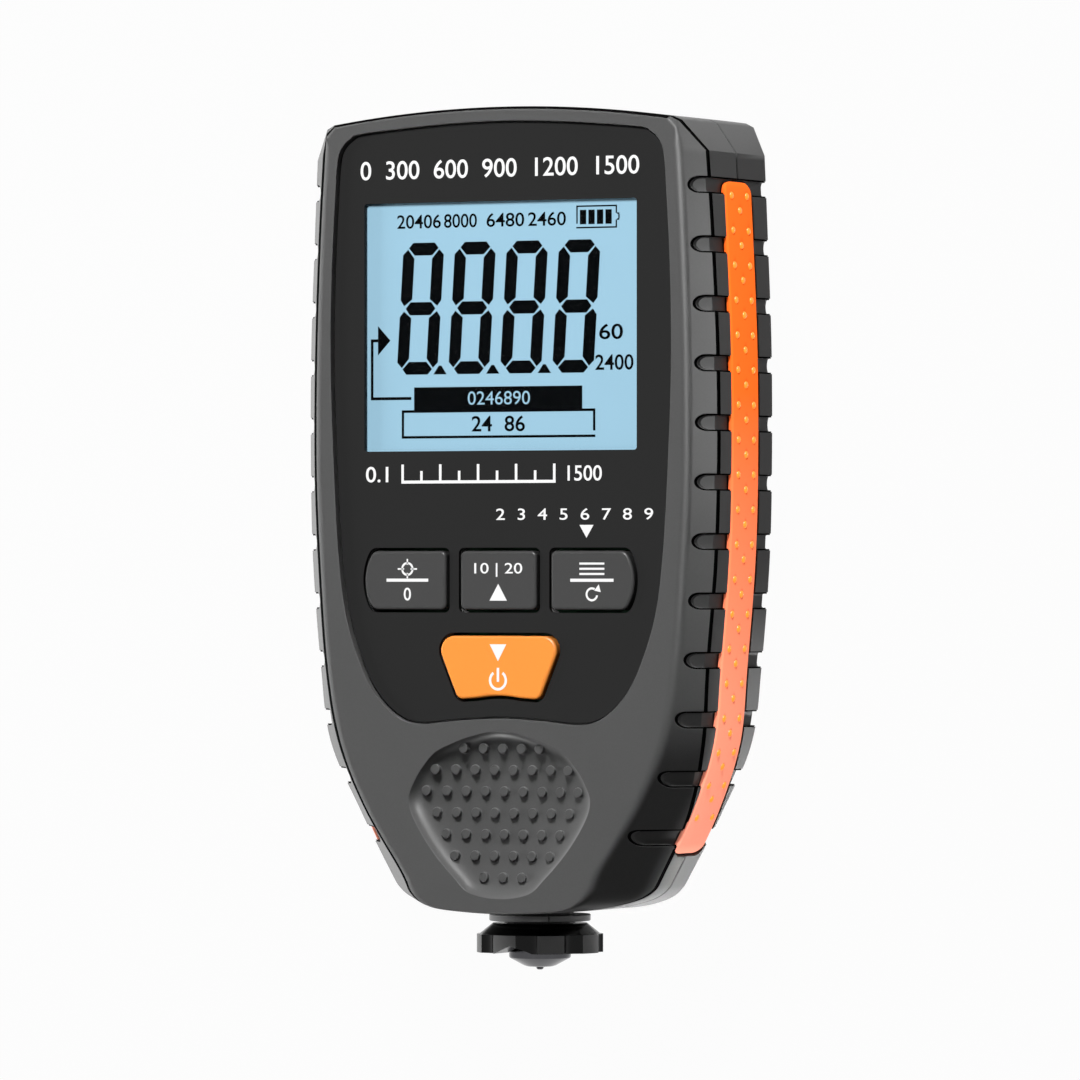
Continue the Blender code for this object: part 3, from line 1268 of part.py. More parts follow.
def build_bay():
    build_cell("cell_left", -CELL_X, 1)
    build_cell("cell_right", CELL_X, -1)
    low_z, high_z = CELL_Z - CONTACT_HEIGHT / 2, CELL_Z + CONTACT_HEIGHT / 2
    half = CONTACT_WIDTH / 2
    top = BAY_TOP_Y - FIT_GAP
    for name, x in (("contact_plate_left", -CELL_X), ("contact_plate_right", CELL_X)):
        block(name, (x - half, top - CONTACT_THICKNESS, low_z), (x + half, top, high_z), PARTS, STEEL)
    end = BAY_END_Y + FIT_GAP
    block("bridge_plate", (-CELL_X - half, end, low_z), (CELL_X + half, end + CONTACT_THICKNESS, high_z),
          PARTS, STEEL)
    low_start = end + CONTACT_THICKNESS + FIT_GAP
    high_end = top - CONTACT_THICKNESS - FIT_GAP
    for name, x, start, finish in (
            ("cell_spring_left", -CELL_X, low_start, low_start + CELL_SPRING_LENGTH - FIT_GAP),
            ("cell_spring_right", CELL_X, high_end - CELL_SPRING_LENGTH + FIT_GAP, high_end)):
        points = coil_points(x, CELL_Z, start, finish, CELL_SPRING_RADIUS, CELL_SPRING_WIRE,
                             CELL_SPRING_TURNS)
        wire(name, points, CELL_SPRING_WIRE, PARTS, STEEL, resolution=1)


# Probe

def along_y(item, y):
    """Puts a turned piece on the probe's axis, with its zero at a height."""
    item.location = (PROBE_X, y, MID_Z)
    return item


def build_neck_ring():
    bore = SLEEVE_RADIUS + FIT_GAP
    profile = [(bore, 0.0), (NECK_RADIUS, 0.0), (NECK_RADIUS, -NECK_LENGTH), (bore, -NECK_LENGTH)]
    along_y(turned("probe_neck_ring", profile, True, PARTS, SHELL_GREY, axis="Y"), RING_TOP_Y)


def build_guard():
    """Fluted guard with a V-notch across its end."""
    bore = SLEEVE_RADIUS + FIT_GAP
    height = GUARD_CONE + GUARD_SKIRT
    profile = [(bore, 0.0), (GUARD_TOP_RADIUS, 0.0), (GUARD_CONE_RADIUS, -GUARD_CONE),
               (GUARD_RADIUS, -GUARD_CONE), (GUARD_RADIUS, -height), (bore, -height)]
    guard = along_y(turned("probe_guard", profile, True, PARTS, BLACK_PLASTIC, GUARD_SIDES, "Y"), GUARD_TOP_Y)
    bm = bmesh.new()
    reach = GUARD_RADIUS + FLUTE_RADIUS - FLUTE_DEPTH
    low, high = GUARD_END_Y - CUT_MARGIN, SKIRT_TOP_Y
    for i in range(GUARD_FLUTES):
        angle = 2 * math.pi * (i + 0.5) / GUARD_FLUTES
        place = Matrix.Translation((reach * math.sin(angle), (low + high) / 2,
                                    MID_Z + reach * math.cos(angle)))
        turn = Matrix.Rotation(math.pi / 2, 4, "X")
        bmesh.ops.create_cone(bm, cap_ends=True, segments=FLUTE_SIDES, radius1=FLUTE_RADIUS,
                              radius2=FLUTE_RADIUS, depth=high - low, matrix=place @ turn)
    cut(guard, add_object("flute_cutter", finish_mesh("flute_cutter", bm), CUTTERS))
    slope = NOTCH_DEPTH / (NOTCH_WIDTH / 2)
    half = NOTCH_WIDTH / 2 + CUT_MARGIN
    notch = [(0.0, GUARD_END_Y + NOTCH_DEPTH), (half, GUARD_END_Y + NOTCH_DEPTH - slope * half),
             (-half, GUARD_END_Y + NOTCH_DEPTH - slope * half)]
    reach_z = GUARD_RADIUS + CUT_MARGIN
    cut(guard, plate("notch_cutter", [notch], MID_Z - reach_z, MID_Z + reach_z, CUTTERS))


def cable_exit():
    return PROBE_X, LOWER_SLEEVE_Y - SLEEVE_END_WALL - FIT_GAP - CABLE_RADIUS - FIT_GAP


def build_sleeve():
    """Fixed sleeve that guides the probe tip, closed at its inner end."""
    top = SLEEVE_DEPTH
    flange_low = SIDE_WALL + 3 * FIT_GAP
    flange_high = flange_low + SLEEVE_FLANGE_LENGTH
    end = -(NOSE_Y - GUARD_TOP_Y) - SLEEVE_OVERLAP
    profile = [(0.0, top), (SLEEVE_BARREL, top), (SLEEVE_BARREL, flange_high),
               (SLEEVE_FLANGE, flange_high), (SLEEVE_FLANGE, flange_low), (SLEEVE_RADIUS, flange_low),
               (SLEEVE_RADIUS, end), (SLEEVE_BORE, end), (SLEEVE_BORE, top - SLEEVE_END_WALL),
               (0.0, top - SLEEVE_END_WALL)]
    sleeve = along_y(turned("probe_sleeve", profile, False, PARTS, BLACK_PLASTIC, BARREL_SIDES, "Y"), NOSE_Y)
    x, y = cable_exit()
    cut(sleeve, rods("cable_hole", [(x, y)], CABLE_RADIUS + FIT_GAP, MID_Z, MID_Z + SLEEVE_BARREL
                     + CUT_MARGIN, CUTTERS, sides=ROD_SIDES))


def tip_back_y():
    """Inner end of the tip's stem at rest."""
    return LOWER_SLEEVE_Y - SLEEVE_END_WALL - 2 * FIT_GAP - PROBE_SPRING_LENGTH


def build_tip():
    """Measuring head and its hollow stem, which slide in the sleeve."""
    head_low = -TIP_SPIGOT
    head_high = head_low + TIP_HEAD_LENGTH
    end = -TIP_REACH
    back = tip_back_y() - GUARD_END_Y
    floor = head_low + TIP_FLOOR
    profile = [(TIP_BORE, back), (TIP_STEM_RADIUS, back), (TIP_STEM_RADIUS, head_high),
               (TIP_HEAD_RADIUS, head_high), (TIP_HEAD_RADIUS, head_low),
               (TIP_CONE_RADIUS, end + TIP_NUB_LENGTH),
               (TIP_NUB_RADIUS, end + TIP_NUB_LENGTH - TIP_NUB_FILLET),
               (TIP_NUB_RADIUS - TIP_NUB_EDGE, end), (0.0, end)]
    bore = [(0.0, floor), (TIP_BORE, floor)]
    tip = turned("probe_tip", profile, False, PARTS, CHROME, TURNED_SIDES, "Y", bore)
    along_y(tip, GUARD_END_Y)


def build_probe_inside():
    back = tip_back_y()
    floor = GUARD_END_Y - TIP_SPIGOT + TIP_FLOOR
    coil_outer = TIP_BORE - COIL_WIRE_GAP
    coil_inner = CORE_RADIUS + FIT_GAP
    profile = [(coil_inner, COIL_LENGTH), (coil_outer, COIL_LENGTH), (coil_outer, 0.0), (coil_inner, 0.0)]
    along_y(turned("probe_coil", profile, True, PARTS, COPPER, BARREL_SIDES, "Y"), floor + FIT_GAP)
    length = COIL_LENGTH + CORE_GROWTH
    profile = [(0.0, length), (CORE_RADIUS, length), (CORE_RADIUS, 0.0), (0.0, 0.0)]
    along_y(turned("probe_core", profile, False, PARTS, STEEL, ROD_SIDES, "Y"), floor + FIT_GAP)
    spring_end = LOWER_SLEEVE_Y - SLEEVE_END_WALL - FIT_GAP
    radius = (TIP_BORE + TIP_STEM_RADIUS) / 2
    points = coil_points(PROBE_X, MID_Z, back + FIT_GAP, spring_end, radius - PROBE_SPRING_WIRE,
                         PROBE_SPRING_WIRE, PROBE_SPRING_TURNS)
    wire("probe_spring", points, PROBE_SPRING_WIRE, PARTS, STEEL, resolution=1)


def build_cable():
    """Lead from the sleeve to the socket on the board."""
    socket_end = BOARD_END_Y + SOCKET_RISE
    width, depth, height = SOCKET_SIZE
    block("board_socket", (SOCKET_X - width / 2, socket_end, DECK_Z),
          (SOCKET_X + width / 2, socket_end + depth, DECK_Z + height), PARTS, WHITE_PLASTIC)
    width, depth, plug_height = PLUG_SIZE
    plug_top = socket_end - FIT_GAP
    middle_z = DECK_Z + height / 2
    block("cable_plug", (SOCKET_X - width / 2, plug_top - depth, middle_z - plug_height / 2),
          (SOCKET_X + width / 2, plug_top, middle_z + plug_height / 2), PARTS, WHITE_PLASTIC)
    x, y = cable_exit()
    sleeve_top = MID_Z + SLEEVE_BARREL
    end_y = plug_top - depth - FIT_GAP
    route = [(x, y, sleeve_top - 2 * FIT_GAP), (x, y, sleeve_top + CABLE_RISE / 2),
             (x, y + CABLE_RISE, sleeve_top + (CABLE_RISE + CABLE_CREST) / 2),
             (x + CABLE_CREST_ACROSS * (SOCKET_X - x), y + CABLE_CREST_ALONG * (end_y - y),
              sleeve_top + CABLE_CREST),
             (SOCKET_X, end_y - 2 * CABLE_RISE, middle_z), (SOCKET_X, end_y, middle_z)]
    wire("probe_cable", smooth_curve(route, CABLE_STEPS), CABLE_RADIUS, PARTS, RUBBER_BLACK)


def main():
    shared = {
        "grooves": groove_cutter(),
        "right_channel": grip_solid("right_channel", 1, CUTTERS, gap=FIT_GAP),
        "left_channel": grip_solid("left_channel", -1, CUTTERS, gap=FIT_GAP),
        "barrel": barrel_cutter(),
        "nose": nose_cutter(),
    }
    build_front_shell(shared)
    build_rear_shell(shared)
    build_door()
    grip_solid("side_grip_right", 1, PARTS, GRIP_ORANGE)
    grip_solid("side_grip_left", -1, PARTS, GRIP_ORANGE)
    build_panel()
    for key in KEYS:
        build_key(key)
        build_switch(key)
    build_display()
    build_board()
    build_screws()
    build_bay()
    build_neck_ring()
    build_guard()
    build_sleeve()
    build_tip()
    build_probe_inside()
    build_cable()
    bpy.context.view_layer.update()


main()
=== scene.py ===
import bpy
import math
from mathutils import Matrix, Vector


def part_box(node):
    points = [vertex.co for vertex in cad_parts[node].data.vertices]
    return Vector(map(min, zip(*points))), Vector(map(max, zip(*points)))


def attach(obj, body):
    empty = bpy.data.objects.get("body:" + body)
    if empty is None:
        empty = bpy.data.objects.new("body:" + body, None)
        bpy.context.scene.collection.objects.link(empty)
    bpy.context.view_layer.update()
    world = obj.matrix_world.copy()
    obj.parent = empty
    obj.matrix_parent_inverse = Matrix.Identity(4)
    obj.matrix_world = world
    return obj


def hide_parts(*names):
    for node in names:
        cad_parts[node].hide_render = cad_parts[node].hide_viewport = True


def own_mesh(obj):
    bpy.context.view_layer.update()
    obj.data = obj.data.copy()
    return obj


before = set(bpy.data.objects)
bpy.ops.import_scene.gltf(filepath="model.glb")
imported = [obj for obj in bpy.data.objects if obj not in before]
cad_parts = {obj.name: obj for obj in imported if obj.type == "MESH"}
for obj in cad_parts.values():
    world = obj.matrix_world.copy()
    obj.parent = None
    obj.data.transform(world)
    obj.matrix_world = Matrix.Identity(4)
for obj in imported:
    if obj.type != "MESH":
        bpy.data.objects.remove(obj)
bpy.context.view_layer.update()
mm = 0.001
print("frame loaded")

# Heights through the housing, in millimetres from the back
levels = {
    "doorOut": 0.25, "doorIn": 2.05, "ledge": 2.35, "cells": 7.7, "roof": 13.35, "middle": 11.9,
    "glassTop": 22.3, "ceiling": 21.1, "pocket": 22.3, "openings": 19.0,
    "panelLow": 22.6, "panelTop": 23.1, "keyTop": 23.5, "face": 23.8,
    "under": -2.0, "over": 26.0,                     # cutters start and end outside the housing
}
gap = 0.3


# Selecting, editing and finishing

def alone(piece):
    bpy.ops.object.select_all(action="DESELECT")
    piece.select_set(True)
    bpy.context.view_layer.objects.active = piece


def startEdit(piece):
    alone(piece)
    bpy.ops.object.mode_set(mode="EDIT")
    bpy.ops.mesh.select_all(action="SELECT")


def endEdit():
    bpy.ops.object.mode_set(mode="OBJECT")


def cleanUp(piece):                                  # doubles merged, faces outwards
    startEdit(piece)
    bpy.ops.mesh.remove_doubles(threshold=0.000001)
    bpy.ops.mesh.normals_make_consistent(inside=False)
    endEdit()
    return piece


def smoothOff(piece, angle=30, weighted=True):
    alone(piece)
    bpy.ops.object.transform_apply(location=True, rotation=True, scale=True)
    bpy.ops.object.shade_smooth_by_angle(angle=math.radians(angle))
    if weighted:                                     # large flat faces keep a flat shading
        modifier = piece.modifiers.new("weightedNormals", "WEIGHTED_NORMAL")
        modifier.keep_sharp = True
        bpy.ops.object.modifier_apply(modifier=modifier.name)
    return piece


def softenEdges(piece, width, segments=1, angle=50):
    alone(piece)
    bevel = piece.modifiers.new("softEdges", "BEVEL")
    bevel.width = width * mm
    bevel.segments = segments
    bevel.limit_method = "ANGLE"
    bevel.angle_limit = math.radians(angle)
    bpy.ops.object.modifier_apply(modifier=bevel.name)
    return piece


def combine(piece, cutter, operation="DIFFERENCE"):
    alone(piece)
    boolean = piece.modifiers.new("combine", "BOOLEAN")
    boolean.operation = operation
    boolean.solver = "EXACT"
    boolean.object = cutter
    bpy.ops.object.modifier_apply(modifier=boolean.name)
    bpy.data.objects.remove(cutter, do_unlink=True)
    return piece


def joinUp(name, parts):
    bpy.ops.object.select_all(action="DESELECT")
    for part in parts:
        part.select_set(True)
    bpy.context.view_layer.objects.active = parts[0]
    if len(parts) > 1:
        bpy.ops.object.join()
    parts[0].name = name
    return parts[0]


def deliver(piece, paint, body, slot, *nodes, second=None):    # finishes, its body, the nodes it stands for
    marked = [face.material_index for face in piece.data.polygons]
    piece.data.materials.clear()
    piece.data.materials.append(paints[paint])
    if second:
        piece.data.materials.append(paints[second])
        for face, index in zip(piece.data.polygons, marked):
            face.material_index = min(index, 1)
    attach(piece, body)
    if nodes:
        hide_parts(*nodes)
    return piece


# Forms, all given in millimetres

def skin(name, rings, loop=False, marked=()):        # a grid through rings of equally many points
    lines = rings + [rings[0]] if loop else rings
    columns = len(rings[0])
    bpy.ops.mesh.primitive_grid_add(x_subdivisions=columns, y_subdivisions=len(lines) - 1, size=1)
    piece = bpy.context.active_object
    piece.name = name
    for index, vertex in enumerate(piece.data.vertices):
        row, column = divmod(index, columns + 1)
        vertex.co = Vector(lines[row][column % columns]) * mm
    for face in piece.data.polygons:                 # marked places get the second finish
        face.material_index = 1 if divmod(face.index, columns) in marked else 0
    startEdit(piece)
    bpy.ops.mesh.remove_doubles(threshold=0.000001)
    if not loop:
        bpy.ops.mesh.fill_holes(sides=0)
    bpy.ops.mesh.normals_make_consistent(inside=False)
    endEdit()
    return piece


def flat(name, outlines, low, high):                 # outlines inside others are holes
    curve = bpy.data.curves.new(name, "CURVE")
    curve.dimensions = "2D"
    curve.fill_mode = "BOTH"
    curve.extrude = (high - low) / 2 * mm
    for outline in outlines:
        spline = curve.splines.new("POLY")
        spline.points.add(len(outline) - 1)
        for point, (x, y) in zip(spline.points, outline):
            point.co = (x * mm, y * mm, 0, 1)
        spline.use_cyclic_u = True
    piece = bpy.data.objects.new(name, curve)
    bpy.context.scene.collection.objects.link(piece)
    piece.location.z = (low + high) / 2 * mm
    alone(piece)
    bpy.ops.object.convert(target="MESH")
    piece = bpy.context.active_object
    bpy.ops.object.transform_apply(location=True, rotation=True, scale=True)
    return cleanUp(piece)


def box(name, low, high):
    middle = [(a + b) / 2 * mm for a, b in zip(low, high)]
    bpy.ops.mesh.primitive_cube_add(size=1, location=middle, scale=[(b - a) * mm for a, b in zip(low, high)])
    piece = bpy.context.active_object
    piece.name = name
    bpy.ops.object.transform_apply(location=True, rotation=True, scale=True)
    return piece


def turned(name, profile, centre, axis="Y", steps=96, loop=False):   # profile of (radius, height)
    rings = []
    for radius, height in profile:
        ring = []
        for step in range(steps):
            angle = 2 * math.pi * step / steps
            across, up = radius * math.sin(angle), radius * math.cos(angle)
            if axis == "Y":
                ring.append((centre[0] + across, centre[1] + height, centre[2] + up))
            elif axis == "Z":
                ring.append((centre[0] + across, centre[1] + up, centre[2] + height))
            else:
                ring.append((centre[0] + height, centre[1] + across, centre[2] + up))
        rings.append(ring)
    return skin(name, rings, loop)


def rod(name, radius, low, high, centre, axis, steps):
    return turned(name, [(radius, low), (radius, high)], centre, axis, steps)


def smoothLine(points, steps, before=None, after=None):   # curve through points, with guides past its ends
    guides = [before or points[0], *points, after or points[-1]]
    line = [tuple(points[0])]
    for a, b, c, d in zip(guides, guides[1:], guides[2:], guides[3:]):
        for step in range(1, steps + 1):
            t = step / steps
            line.append(tuple(
                0.5 * (2 * q + (r - p) * t + (2 * p - 5 * q + 4 * r - s) * t ** 2 + (3 * q - p - 3 * r + s) * t ** 3)
                for p, q, r, s in zip(a, b, c, d)))
    return line


def mirrored(half):
    return list(half) + [(-x, y) for x, y in half[-2:0:-1]]


def offset(outline, distances):                      # clockwise outlines grow by positive distances
    if not isinstance(distances, list):
        distances = [distances] * len(outline)
    normals = []
    for a, b in zip(outline, outline[1:] + outline[:1]):
        along = Vector(b) - Vector(a)
        normals.append(Vector((-along.y, along.x)).normalized())
    moved = []
    for i, point in enumerate(outline):
        mitre = (normals[i - 1] + normals[i]).normalized()
        shift = mitre * (distances[i] / max(0.5, mitre.dot(normals[i])))
        moved.append((point[0] + shift.x, point[1] + shift.y))
    return moved


def arc(centre, radius, start, end, steps):
    points = []
    for step in range(steps + 1):
        angle = math.radians(start + (end - start) * step / steps)
        points.append((centre[0] + radius * math.cos(angle), centre[1] + radius * math.sin(angle)))
    return points


def rounded(corners, steps=6):                       # clockwise corners of (x, y, radius)
    outline = []
    for i, (x, y, radius) in enumerate(corners):
        here = Vector((x, y))
        toLast = (Vector(corners[i - 1][:2]) - here).normalized()
        toNext = (Vector(corners[(i + 1) % len(corners)][:2]) - here).normalized()
        if radius == 0:
            outline.append((x, y))
            continue
        halfAngle = toLast.angle(toNext) / 2
        centre = here + (toLast + toNext).normalized() * radius / math.sin(halfAngle)
        start = here + toLast * radius / math.tan(halfAngle) - centre
        sweep = math.pi - 2 * halfAngle
        for step in range(steps + 1):
            turn = -sweep * step / steps
            outline.append((centre.x + start.x * math.cos(turn) - start.y * math.sin(turn),
                            centre.y + start.x * math.sin(turn) + start.y * math.cos(turn)))
    return outline


def rectangle(x, y, width, height, radius=0.0, steps=6):
    right, top = width / 2, height / 2
    return rounded([(x + right, y + top, radius), (x + right, y - top, radius),
                    (x - right, y - top, radius), (x - right, y + top, radius)], steps)


def atHeight(outline, z):
    heights = z if isinstance(z, list) else [z] * len(outline)
    return [(x, y, height) for (x, y), height in zip(outline, heights)]


# Finishes. A Signal is one value inside a material, and takes part in sums

class Signal:
    def __init__(self, paint, socket):
        self.paint = paint
        self.socket = socket

    def __add__(self, other):
        return self.paint.sum("ADD", self, other)

    def __radd__(self, other):
        return self.paint.sum("ADD", other, self)

    def __sub__(self, other):
        return self.paint.sum("SUBTRACT", self, other)

    def __rsub__(self, other):
        return self.paint.sum("SUBTRACT", other, self)

    def __mul__(self, other):
        return self.paint.sum("MULTIPLY", self, other)

    def __rmul__(self, other):
        return self.paint.sum("MULTIPLY", other, self)


class Paint:
    def __init__(self, name, roughness, metallic=0.0, specular=0.5):
        self.material = bpy.data.materials.new(name)
        self.material.use_nodes = True
        self.tree = self.material.node_tree
        self.shader = self.tree.nodes["Principled BSDF"]
        self.set("Roughness", roughness)
        self.set("Metallic", metallic)
        self.set("Specular IOR Level", specular)
        self.place = self.add("ShaderNodeTexCoord", output="Object")
        paints[name] = self.material

    def add(self, kind, settings=None, inputs=None, output=0):
        node = self.tree.nodes.new(kind)
        for key, value in (settings or {}).items():
            setattr(node, key, value)
        for key, value in (inputs or {}).items():
            self.feed(node.inputs[key], value)
        return Signal(self, node.outputs[output])

    def feed(self, socket, value):
        if isinstance(value, Signal):
            self.tree.links.new(value.socket, socket)
        else:
            socket.default_value = value

    def sum(self, operation, first, second):
        return self.add("ShaderNodeMath", {"operation": operation}, {0: first, 1: second})

    def set(self, socket, value):
        self.feed(self.shader.inputs[socket], value)

    def noise(self, size, detail=3.0):                            # size of its grains in millimetres
        return self.add("ShaderNodeTexNoise", None,
                        {"Vector": self.place, "Scale": 1000 / size, "Detail": detail, "Roughness": 0.6})

    def blend(self, factor, first, second):
        mix = self.tree.nodes.new("ShaderNodeMix")
        mix.data_type = "RGBA"
        for index, value in ((0, factor), (6, first), (7, second)):
            self.feed(mix.inputs[index], (*value, 1) if isinstance(value, tuple) else value)
        return Signal(self, mix.outputs[2])

    def height(self, signal, strength, depth, edge=0.0):          # depth and edge radius in millimetres
        inputs = {"Height": signal, "Strength": strength, "Distance": depth * mm}
        if edge:
            inputs["Normal"] = self.add("ShaderNodeBevel", {"samples": 6}, {"Radius": edge * mm})
        self.set("Normal", self.add("ShaderNodeBump", None, inputs))


paints = {}


def shade(colour, factor):
    return tuple(min(1.0, channel * factor) for channel in colour)


def hexColour(text):
    values = [int(text[i:i + 2], 16) / 255 for i in (0, 2, 4)]
    return tuple(v / 12.92 if v <= 0.04045 else ((v + 0.055) / 1.055) ** 2.4 for v in values)


def mouldedPlastic(name, colour, roughness, grain=0.25, spread=0.1, bump=0.12, edge=0.1, specular=0.3):
    paint = Paint(name, roughness, 0.0, specular)
    fine = paint.noise(grain)
    cloudy = paint.noise(9.0, 2.0)
    mix = fine * 0.7 + cloudy * 0.3
    paint.set("Base Color", paint.blend(mix, shade(colour, 1 - spread), shade(colour, 1 + spread)))
    paint.set("Roughness", (fine - 0.5) * 0.25 + roughness)
    paint.height(fine, bump, 0.05, edge)


def plainMetal(name, colour, roughness, stretch=(1, 1, 12), grain=0.6):
    paint = Paint(name, roughness, 1.0)
    lines = paint.add("ShaderNodeMapping", None, {"Vector": paint.place, "Scale": stretch})
    brushed = paint.add("ShaderNodeTexNoise", None, {"Vector": lines, "Scale": 1000 / grain, "Detail": 2.0})
    paint.set("Base Color", paint.blend(brushed, shade(colour, 0.85), shade(colour, 1.08)))
    paint.set("Roughness", brushed * 0.15 + (roughness - 0.07))
    paint.height(brushed, 0.05, 0.02)


plastics = {
    "shellGrey": ("585858", 0.38, {"edge": 0.14, "specular": 0.05}),
    "shellShadow": ("0d0d0d", 0.5, {"edge": 0.0, "specular": 0.0}),
    "ringGrey": ("787878", 0.34, {}),
    "panelBlack": ("292929", 0.5, {"grain": 0.18, "spread": 0.05, "bump": 0.04, "edge": 0.05, "specular": 0.05}),
    "keyGrey": ("424242", 0.36, {"grain": 0.3, "spread": 0.06, "bump": 0.06, "edge": 0.12, "specular": 0.15}),
    # the bumps: the strip's own orange made yellower, a painted highlight
    "bumpOrangeSheen": ("ff8a24", 0.38, {"grain": 0.3, "spread": 0.05, "bump": 0.03, "edge": 0.0, "specular": 0.6}),
    "keyOrange": ("ff963a", 0.42, {"grain": 0.35, "spread": 0.05, "bump": 0.06, "edge": 0.12}),
    "printWhite": ("f4f4f4", 0.6, {"grain": 0.2, "spread": 0.02, "bump": 0.03, "edge": 0.0}),
    "segmentBlack": ("040404", 0.6, {"grain": 0.3, "spread": 0.2, "bump": 0.0, "edge": 0.0, "specular": 0.0}),
    "displayBlue": ("a1cbe1", 0.55, {"grain": 0.5, "spread": 0.01, "bump": 0.0, "edge": 0.0, "specular": 0.0}),
    "whitePlastic": ("d8d8d4", 0.5, {}),
    "blackPlastic": ("1c1c1c", 0.45, {}),
    "guardBlack": ("040404", 0.2, {"grain": 0.4, "spread": 0.3, "bump": 0.02, "edge": 0.08, "specular": 0.15}),
    # the guard's lands: lighter grey than the black flutes, a painted reflection
    "guardLandSheen": ("6f6f6f", 0.4, {"grain": 0.3, "spread": 0.05, "bump": 0.03, "edge": 0.08}),
    "boardGreen": ("1c5a34", 0.4, {"grain": 1.2, "spread": 0.15}),
    "softBlack": ("191919", 0.75, {"grain": 0.3}),
}
for name, (colour, roughness, values) in plastics.items():
    mouldedPlastic(name, hexColour(colour), roughness, **values)
plainMetal("steelPlate", (0.62, 0.62, 0.61), 0.28)
plainMetal("tipChrome", (0.075, 0.075, 0.08), 0.16, (1, 1, 1), 0.8)
plainMetal("coilCopper", (0.72, 0.35, 0.2), 0.35, (1, 14, 1), 0.9)


def gripPaint():                                     # the strip's own orange, turning softer and pinker towards the probe as painted light on its lower end
    paint = Paint("gripOrange", 0.5, 0.0, 0.0)
    along = paint.add("ShaderNodeSeparateXYZ", None, {"Vector": paint.place}, "Y")
    share = paint.add("ShaderNodeMapRange", None, {"Value": along, "From Min": 0.02, "From Max": -0.048})
    colour = paint.blend(share, hexColour("ff6a24"), hexColour("ffa58f"))
    fine = paint.noise(0.3)
    paint.set("Base Color", paint.blend(fine * 0.16, colour, hexColour("e86a20")))
    paint.set("Roughness", fine * 0.2 + 0.4)
    paint.height(fine, 0.08, 0.05, 0.12)


def lensPaint():
    paint = Paint("lensClear", 0.06, 0.0, 0.5)
    faint = paint.noise(6.0, 1.0)
    paint.set("Base Color", (0.02, 0.03, 0.04, 1))
    paint.set("Alpha", faint * 0.01 + 0.02)
    paint.set("Roughness", faint * 0.05 + 0.05)


def cellPaint():                                     # dark jacket, finely mottled
    paint = Paint("cellJacket", 0.35, 0.0, 0.5)
    fine = paint.noise(0.6)
    paint.set("Base Color", paint.blend(fine, hexColour("20242c"), hexColour("2c323c")))
    paint.set("Roughness", fine * 0.15 + 0.28)
    paint.height(fine, 0.04, 0.05, 0.1)


gripPaint()
lensPaint()
cellPaint()
print("finishes mixed")

# Housing outline. Each station: crease inset, way along Y, face edge inset, way along Y, crease depth
housing = {
    "topY": 58.85, "noseY": -50.9, "halfWidth": 31.5, "wall": 2.4,
    "topArcRadius": 179.0, "topArcInset": 5.5, "topArcSteps": 16, "topSetback": 0.35, "topDepth": 0.6,
    "corner": (4.3, 2.45, 4.6, 3.45, 0.8),
    "fromTop": [(1.4, 6.55, 4.3, 5.85, 3.2), (0.8, 16.85, 3.6, 16.85, 3.5), (0.1, 32.85, 3.0, 32.85, 3.7)],
    "fromNose": [(0.0, 60.9, 2.9, 60.9, 3.8), (0.4, 47.9, 3.5, 47.9, 3.7), (1.6, 33.9, 4.6, 33.9, 3.7),
                 (2.7, 23.3, 6.6, 23.5, 4.5), (6.0, 13.9, 10.5, 14.5, 6.9), (10.3, 5.7, 16.3, 5.7, 7.5),
                 (12.2, 3.0, 17.9, 2.7, 7.4), (15.6, 1.5, 20.1, 1.1, 6.0), (22.0, 0.4, 23.7, 0.4, 2.5)],
    "noseSetback": 0.1, "noseDepth": 0.8, "sideSteps": 8,
    "faceRadius": 0.95, "creaseRadius": 0.25, "roundSteps": 4, "partingChamfer": 0.12,
    "creaseLineWidth": 0.28, "creaseLineDepth": 0.3, "noseHoleRadius": 4.9,
}


def housingSamples(sideSteps, arcSteps):
    h = housing
    arcEnd = h["halfWidth"] - h["topArcInset"]
    right = []
    for step in range(arcSteps + 1):
        x = arcEnd * step / arcSteps
        y = h["topY"] - x ** 2 / (2 * h["topArcRadius"])
        right.append((x, y, x * (1 - h["topSetback"] / arcEnd), y - h["topSetback"], h["topDepth"]))
    crease, drop, face, faceDrop, depth = h["corner"]
    right.append((h["halfWidth"] - crease, h["topY"] - drop, h["halfWidth"] - face, h["topY"] - faceDrop, depth))
    stations = []
    for crease, drop, face, faceDrop, depth in h["fromTop"]:
        stations.append((h["halfWidth"] - crease, h["topY"] - drop, h["halfWidth"] - face,
                         h["topY"] - faceDrop, depth))
    for crease, rise, face, faceRise, depth in h["fromNose"]:
        stations.append((h["halfWidth"] - crease, h["noseY"] + rise, h["halfWidth"] - face,
                         h["noseY"] + faceRise, depth))
    stations.append((0.0, h["noseY"], 0.0, h["noseY"] + h["noseSetback"], h["noseDepth"]))
    last = stations[-2]
    right += smoothLine(stations, sideSteps, after=(-last[0], last[1], -last[2], last[3], last[4]))
    return right + [(-a, b, -c, d, e) for a, b, c, d, e in right[-2:0:-1]]


samples = housingSamples(housing["sideSteps"], housing["topArcSteps"])
creaseLine = [(a, b) for a, b, c, d, e in samples]
faceLine = [(c, d) for a, b, c, d, e in samples]
creaseDepth = [e for a, b, c, d, e in samples]
bevelRun = [(Vector(a) - Vector(b)).length for a, b in zip(creaseLine, faceLine)]
bevelSlope = [math.hypot(run, depth) for run, depth in zip(bevelRun, creaseDepth)]
rightCount = len(samples) // 2 + 1


